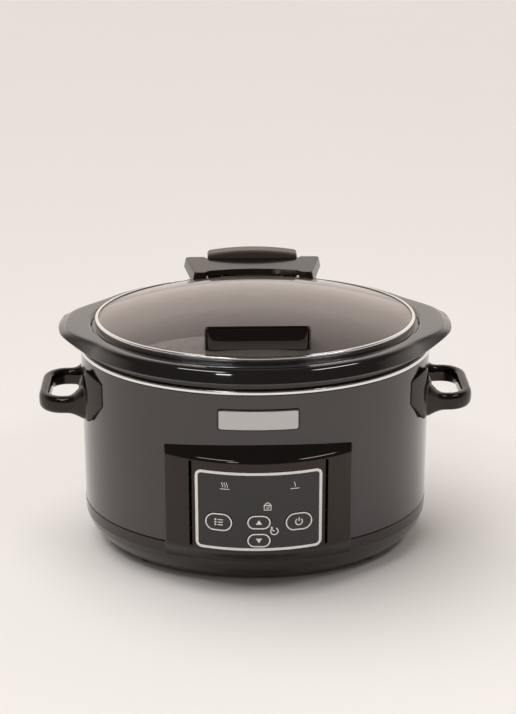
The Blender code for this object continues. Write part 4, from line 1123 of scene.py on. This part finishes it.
# -------------------------------------------------------------------- stage
class COOKER_OT_stage(bpy.types.Operator):
    """Pale floor and backdrop, soft studio light and the camera"""
    bl_idname = "cooker.stage"
    bl_label = "Stage"

    def execute(self, context):
        studio = context.scene.cooker_studio
        self.backdrop()
        self.surround(studio)
        self.strips(studio)
        self.ceiling(studio)
        camera = bpy.data.objects.new("camera", bpy.data.cameras.new("camera"))
        context.scene.collection.objects.link(camera)
        camera.location = studio.camera
        camera.rotation_euler = (studio.tilt, 0.0, studio.turn)
        camera.data.lens = studio.lens
        camera.data.sensor_width = 36.0
        camera.data.clip_end = 30.0
        context.scene.camera = camera
        context.scene.view_settings.view_transform = "Standard"
        return {"FINISHED"}

    def backdrop(self):
        profile = [(-6.0, 0.0), (7.0, 0.0), (9.0, 0.15), (11.0, 0.8)]
        mesh = bpy.data.meshes.new("studio_sweep")
        verts = [(x, y, z) for y, z in profile for x in (-9.0, 9.0)]
        faces = [(2 * i, 2 * i + 1, 2 * i + 3, 2 * i + 2) for i in range(len(profile) - 1)]
        mesh.from_pydata(verts, [], faces)
        mesh.materials.append(FINISHES["studio_paper"])
        sweep = bpy.data.objects.new("studio_sweep", mesh)
        bpy.context.scene.collection.objects.link(sweep)
        mesh.shade_smooth()

    def surround(self, studio):
        """Soft light from behind and below that fades overhead and towards the front."""
        world = bpy.data.worlds.new("studio")
        bpy.context.scene.world = world
        world.use_nodes = True
        nodes, links = world.node_tree.nodes, world.node_tree.links
        light = nodes["Background"]
        coords = nodes.new("ShaderNodeTexCoord")
        apart = nodes.new("ShaderNodeSeparateXYZ")
        links.new(coords.outputs["Generated"], apart.inputs["Vector"])
        lean = nodes.new("ShaderNodeMath")
        lean.operation = "MULTIPLY_ADD"
        lean.inputs[1].default_value = -1.5
        links.new(apart.outputs["Z"], lean.inputs[0])
        links.new(apart.outputs["Y"], lean.inputs[2])
        tone = nodes.new("ShaderNodeValToRGB")
        tone.color_ramp.elements[0].position = 0.08
        tone.color_ramp.elements[0].color = (0.13, 0.115, 0.107, 1.0)
        tone.color_ramp.elements[1].position = 0.50
        tone.color_ramp.elements[1].color = (1.10, 0.99, 0.91, 1.0)
        shift = nodes.new("ShaderNodeMath")
        shift.operation = "MULTIPLY_ADD"
        shift.inputs[1].default_value = 0.5
        shift.inputs[2].default_value = 0.5
        links.new(lean.outputs["Value"], shift.inputs[0])
        links.new(shift.outputs["Value"], tone.inputs["Fac"])
        links.new(tone.outputs["Color"], light.inputs["Color"])
        light.inputs["Strength"].default_value = studio.surround

    def strips(self, studio):
        """Three strips overhead: left, right and a weaker one at the front."""
        strips = {"left": ((-0.55, -0.75, 1.35), 0.55, 1.0), "right": ((0.75, -0.55, 1.25), 0.55, 1.0),
                  "front": ((-0.42, -1.35, 1.05), 0.20, 0.45)}
        for word, (spot, wide, share) in strips.items():
            lamp = bpy.data.lights.new("strip", "AREA")
            lamp.shape = "RECTANGLE"
            lamp.size = wide
            lamp.size_y = 0.16
            lamp.energy = studio.strips * share
            strip = bpy.data.objects.new("strip_" + word, lamp)
            strip.location = spot
            aim = Vector((0.0, 0.0, 0.15)) - Vector(spot)
            strip.rotation_euler = aim.to_track_quat("-Z", "Y").to_euler()
            bpy.context.scene.collection.objects.link(strip)

    def ceiling(self, studio):
        """Wide soft light from overhead that casts the shadow and shows in no reflection."""
        lamp = bpy.data.lights.new("ceiling", "SUN")
        lamp.energy = studio.ceiling
        lamp.angle = math.radians(62.0)
        ceiling = bpy.data.objects.new("ceiling", lamp)
        ceiling.rotation_euler = (math.radians(-8.0), math.radians(-17.0), 0.0)
        ceiling.visible_glossy = False
        bpy.context.scene.collection.objects.link(ceiling)


# -------------------------------------------------------------------- add-on
STEPS = ("base", "shell", "liner", "crock", "lid", "lid_handle", "hinge", "side_handles", "panel", "prints",
         "badge", "carried", "stage")


class COOKER_PT_sidebar(bpy.types.Panel):
    """Lists the slow cooker's pieces"""
    bl_idname = "COOKER_PT_sidebar"
    bl_label = "Slow Cooker"
    bl_space_type = "VIEW_3D"
    bl_region_type = "UI"
    bl_category = "Slow Cooker"

    def draw(self, context):
        for step in STEPS:
            self.layout.operator("cooker." + step)
        for group in (context.scene.cooker_sizes, context.scene.cooker_colours, context.scene.cooker_studio):
            for name in group.__annotations__:
                self.layout.prop(group, name)


CLASSES = (
    CookerSizes, CookerColours, CookerStudio, COOKER_OT_base, COOKER_OT_shell, COOKER_OT_liner,
    COOKER_OT_crock, COOKER_OT_lid, COOKER_OT_lid_handle, COOKER_OT_hinge, COOKER_OT_side_handles,
    COOKER_OT_panel, COOKER_OT_prints, COOKER_OT_badge, COOKER_OT_carried, COOKER_OT_stage,
    COOKER_PT_sidebar)


def register():
    for cls in CLASSES:
        bpy.utils.register_class(cls)
    bpy.types.Scene.cooker_sizes = PointerProperty(type=CookerSizes)
    bpy.types.Scene.cooker_colours = PointerProperty(type=CookerColours)
    bpy.types.Scene.cooker_studio = PointerProperty(type=CookerStudio)


def unregister():
    del bpy.types.Scene.cooker_studio
    del bpy.types.Scene.cooker_colours
    del bpy.types.Scene.cooker_sizes
    for cls in reversed(CLASSES):
        bpy.utils.unregister_class(cls)


def main():
    register()
    make_finishes()
    for step in STEPS:
        getattr(bpy.ops.cooker, step)()


if __name__ == "__main__":
    main()
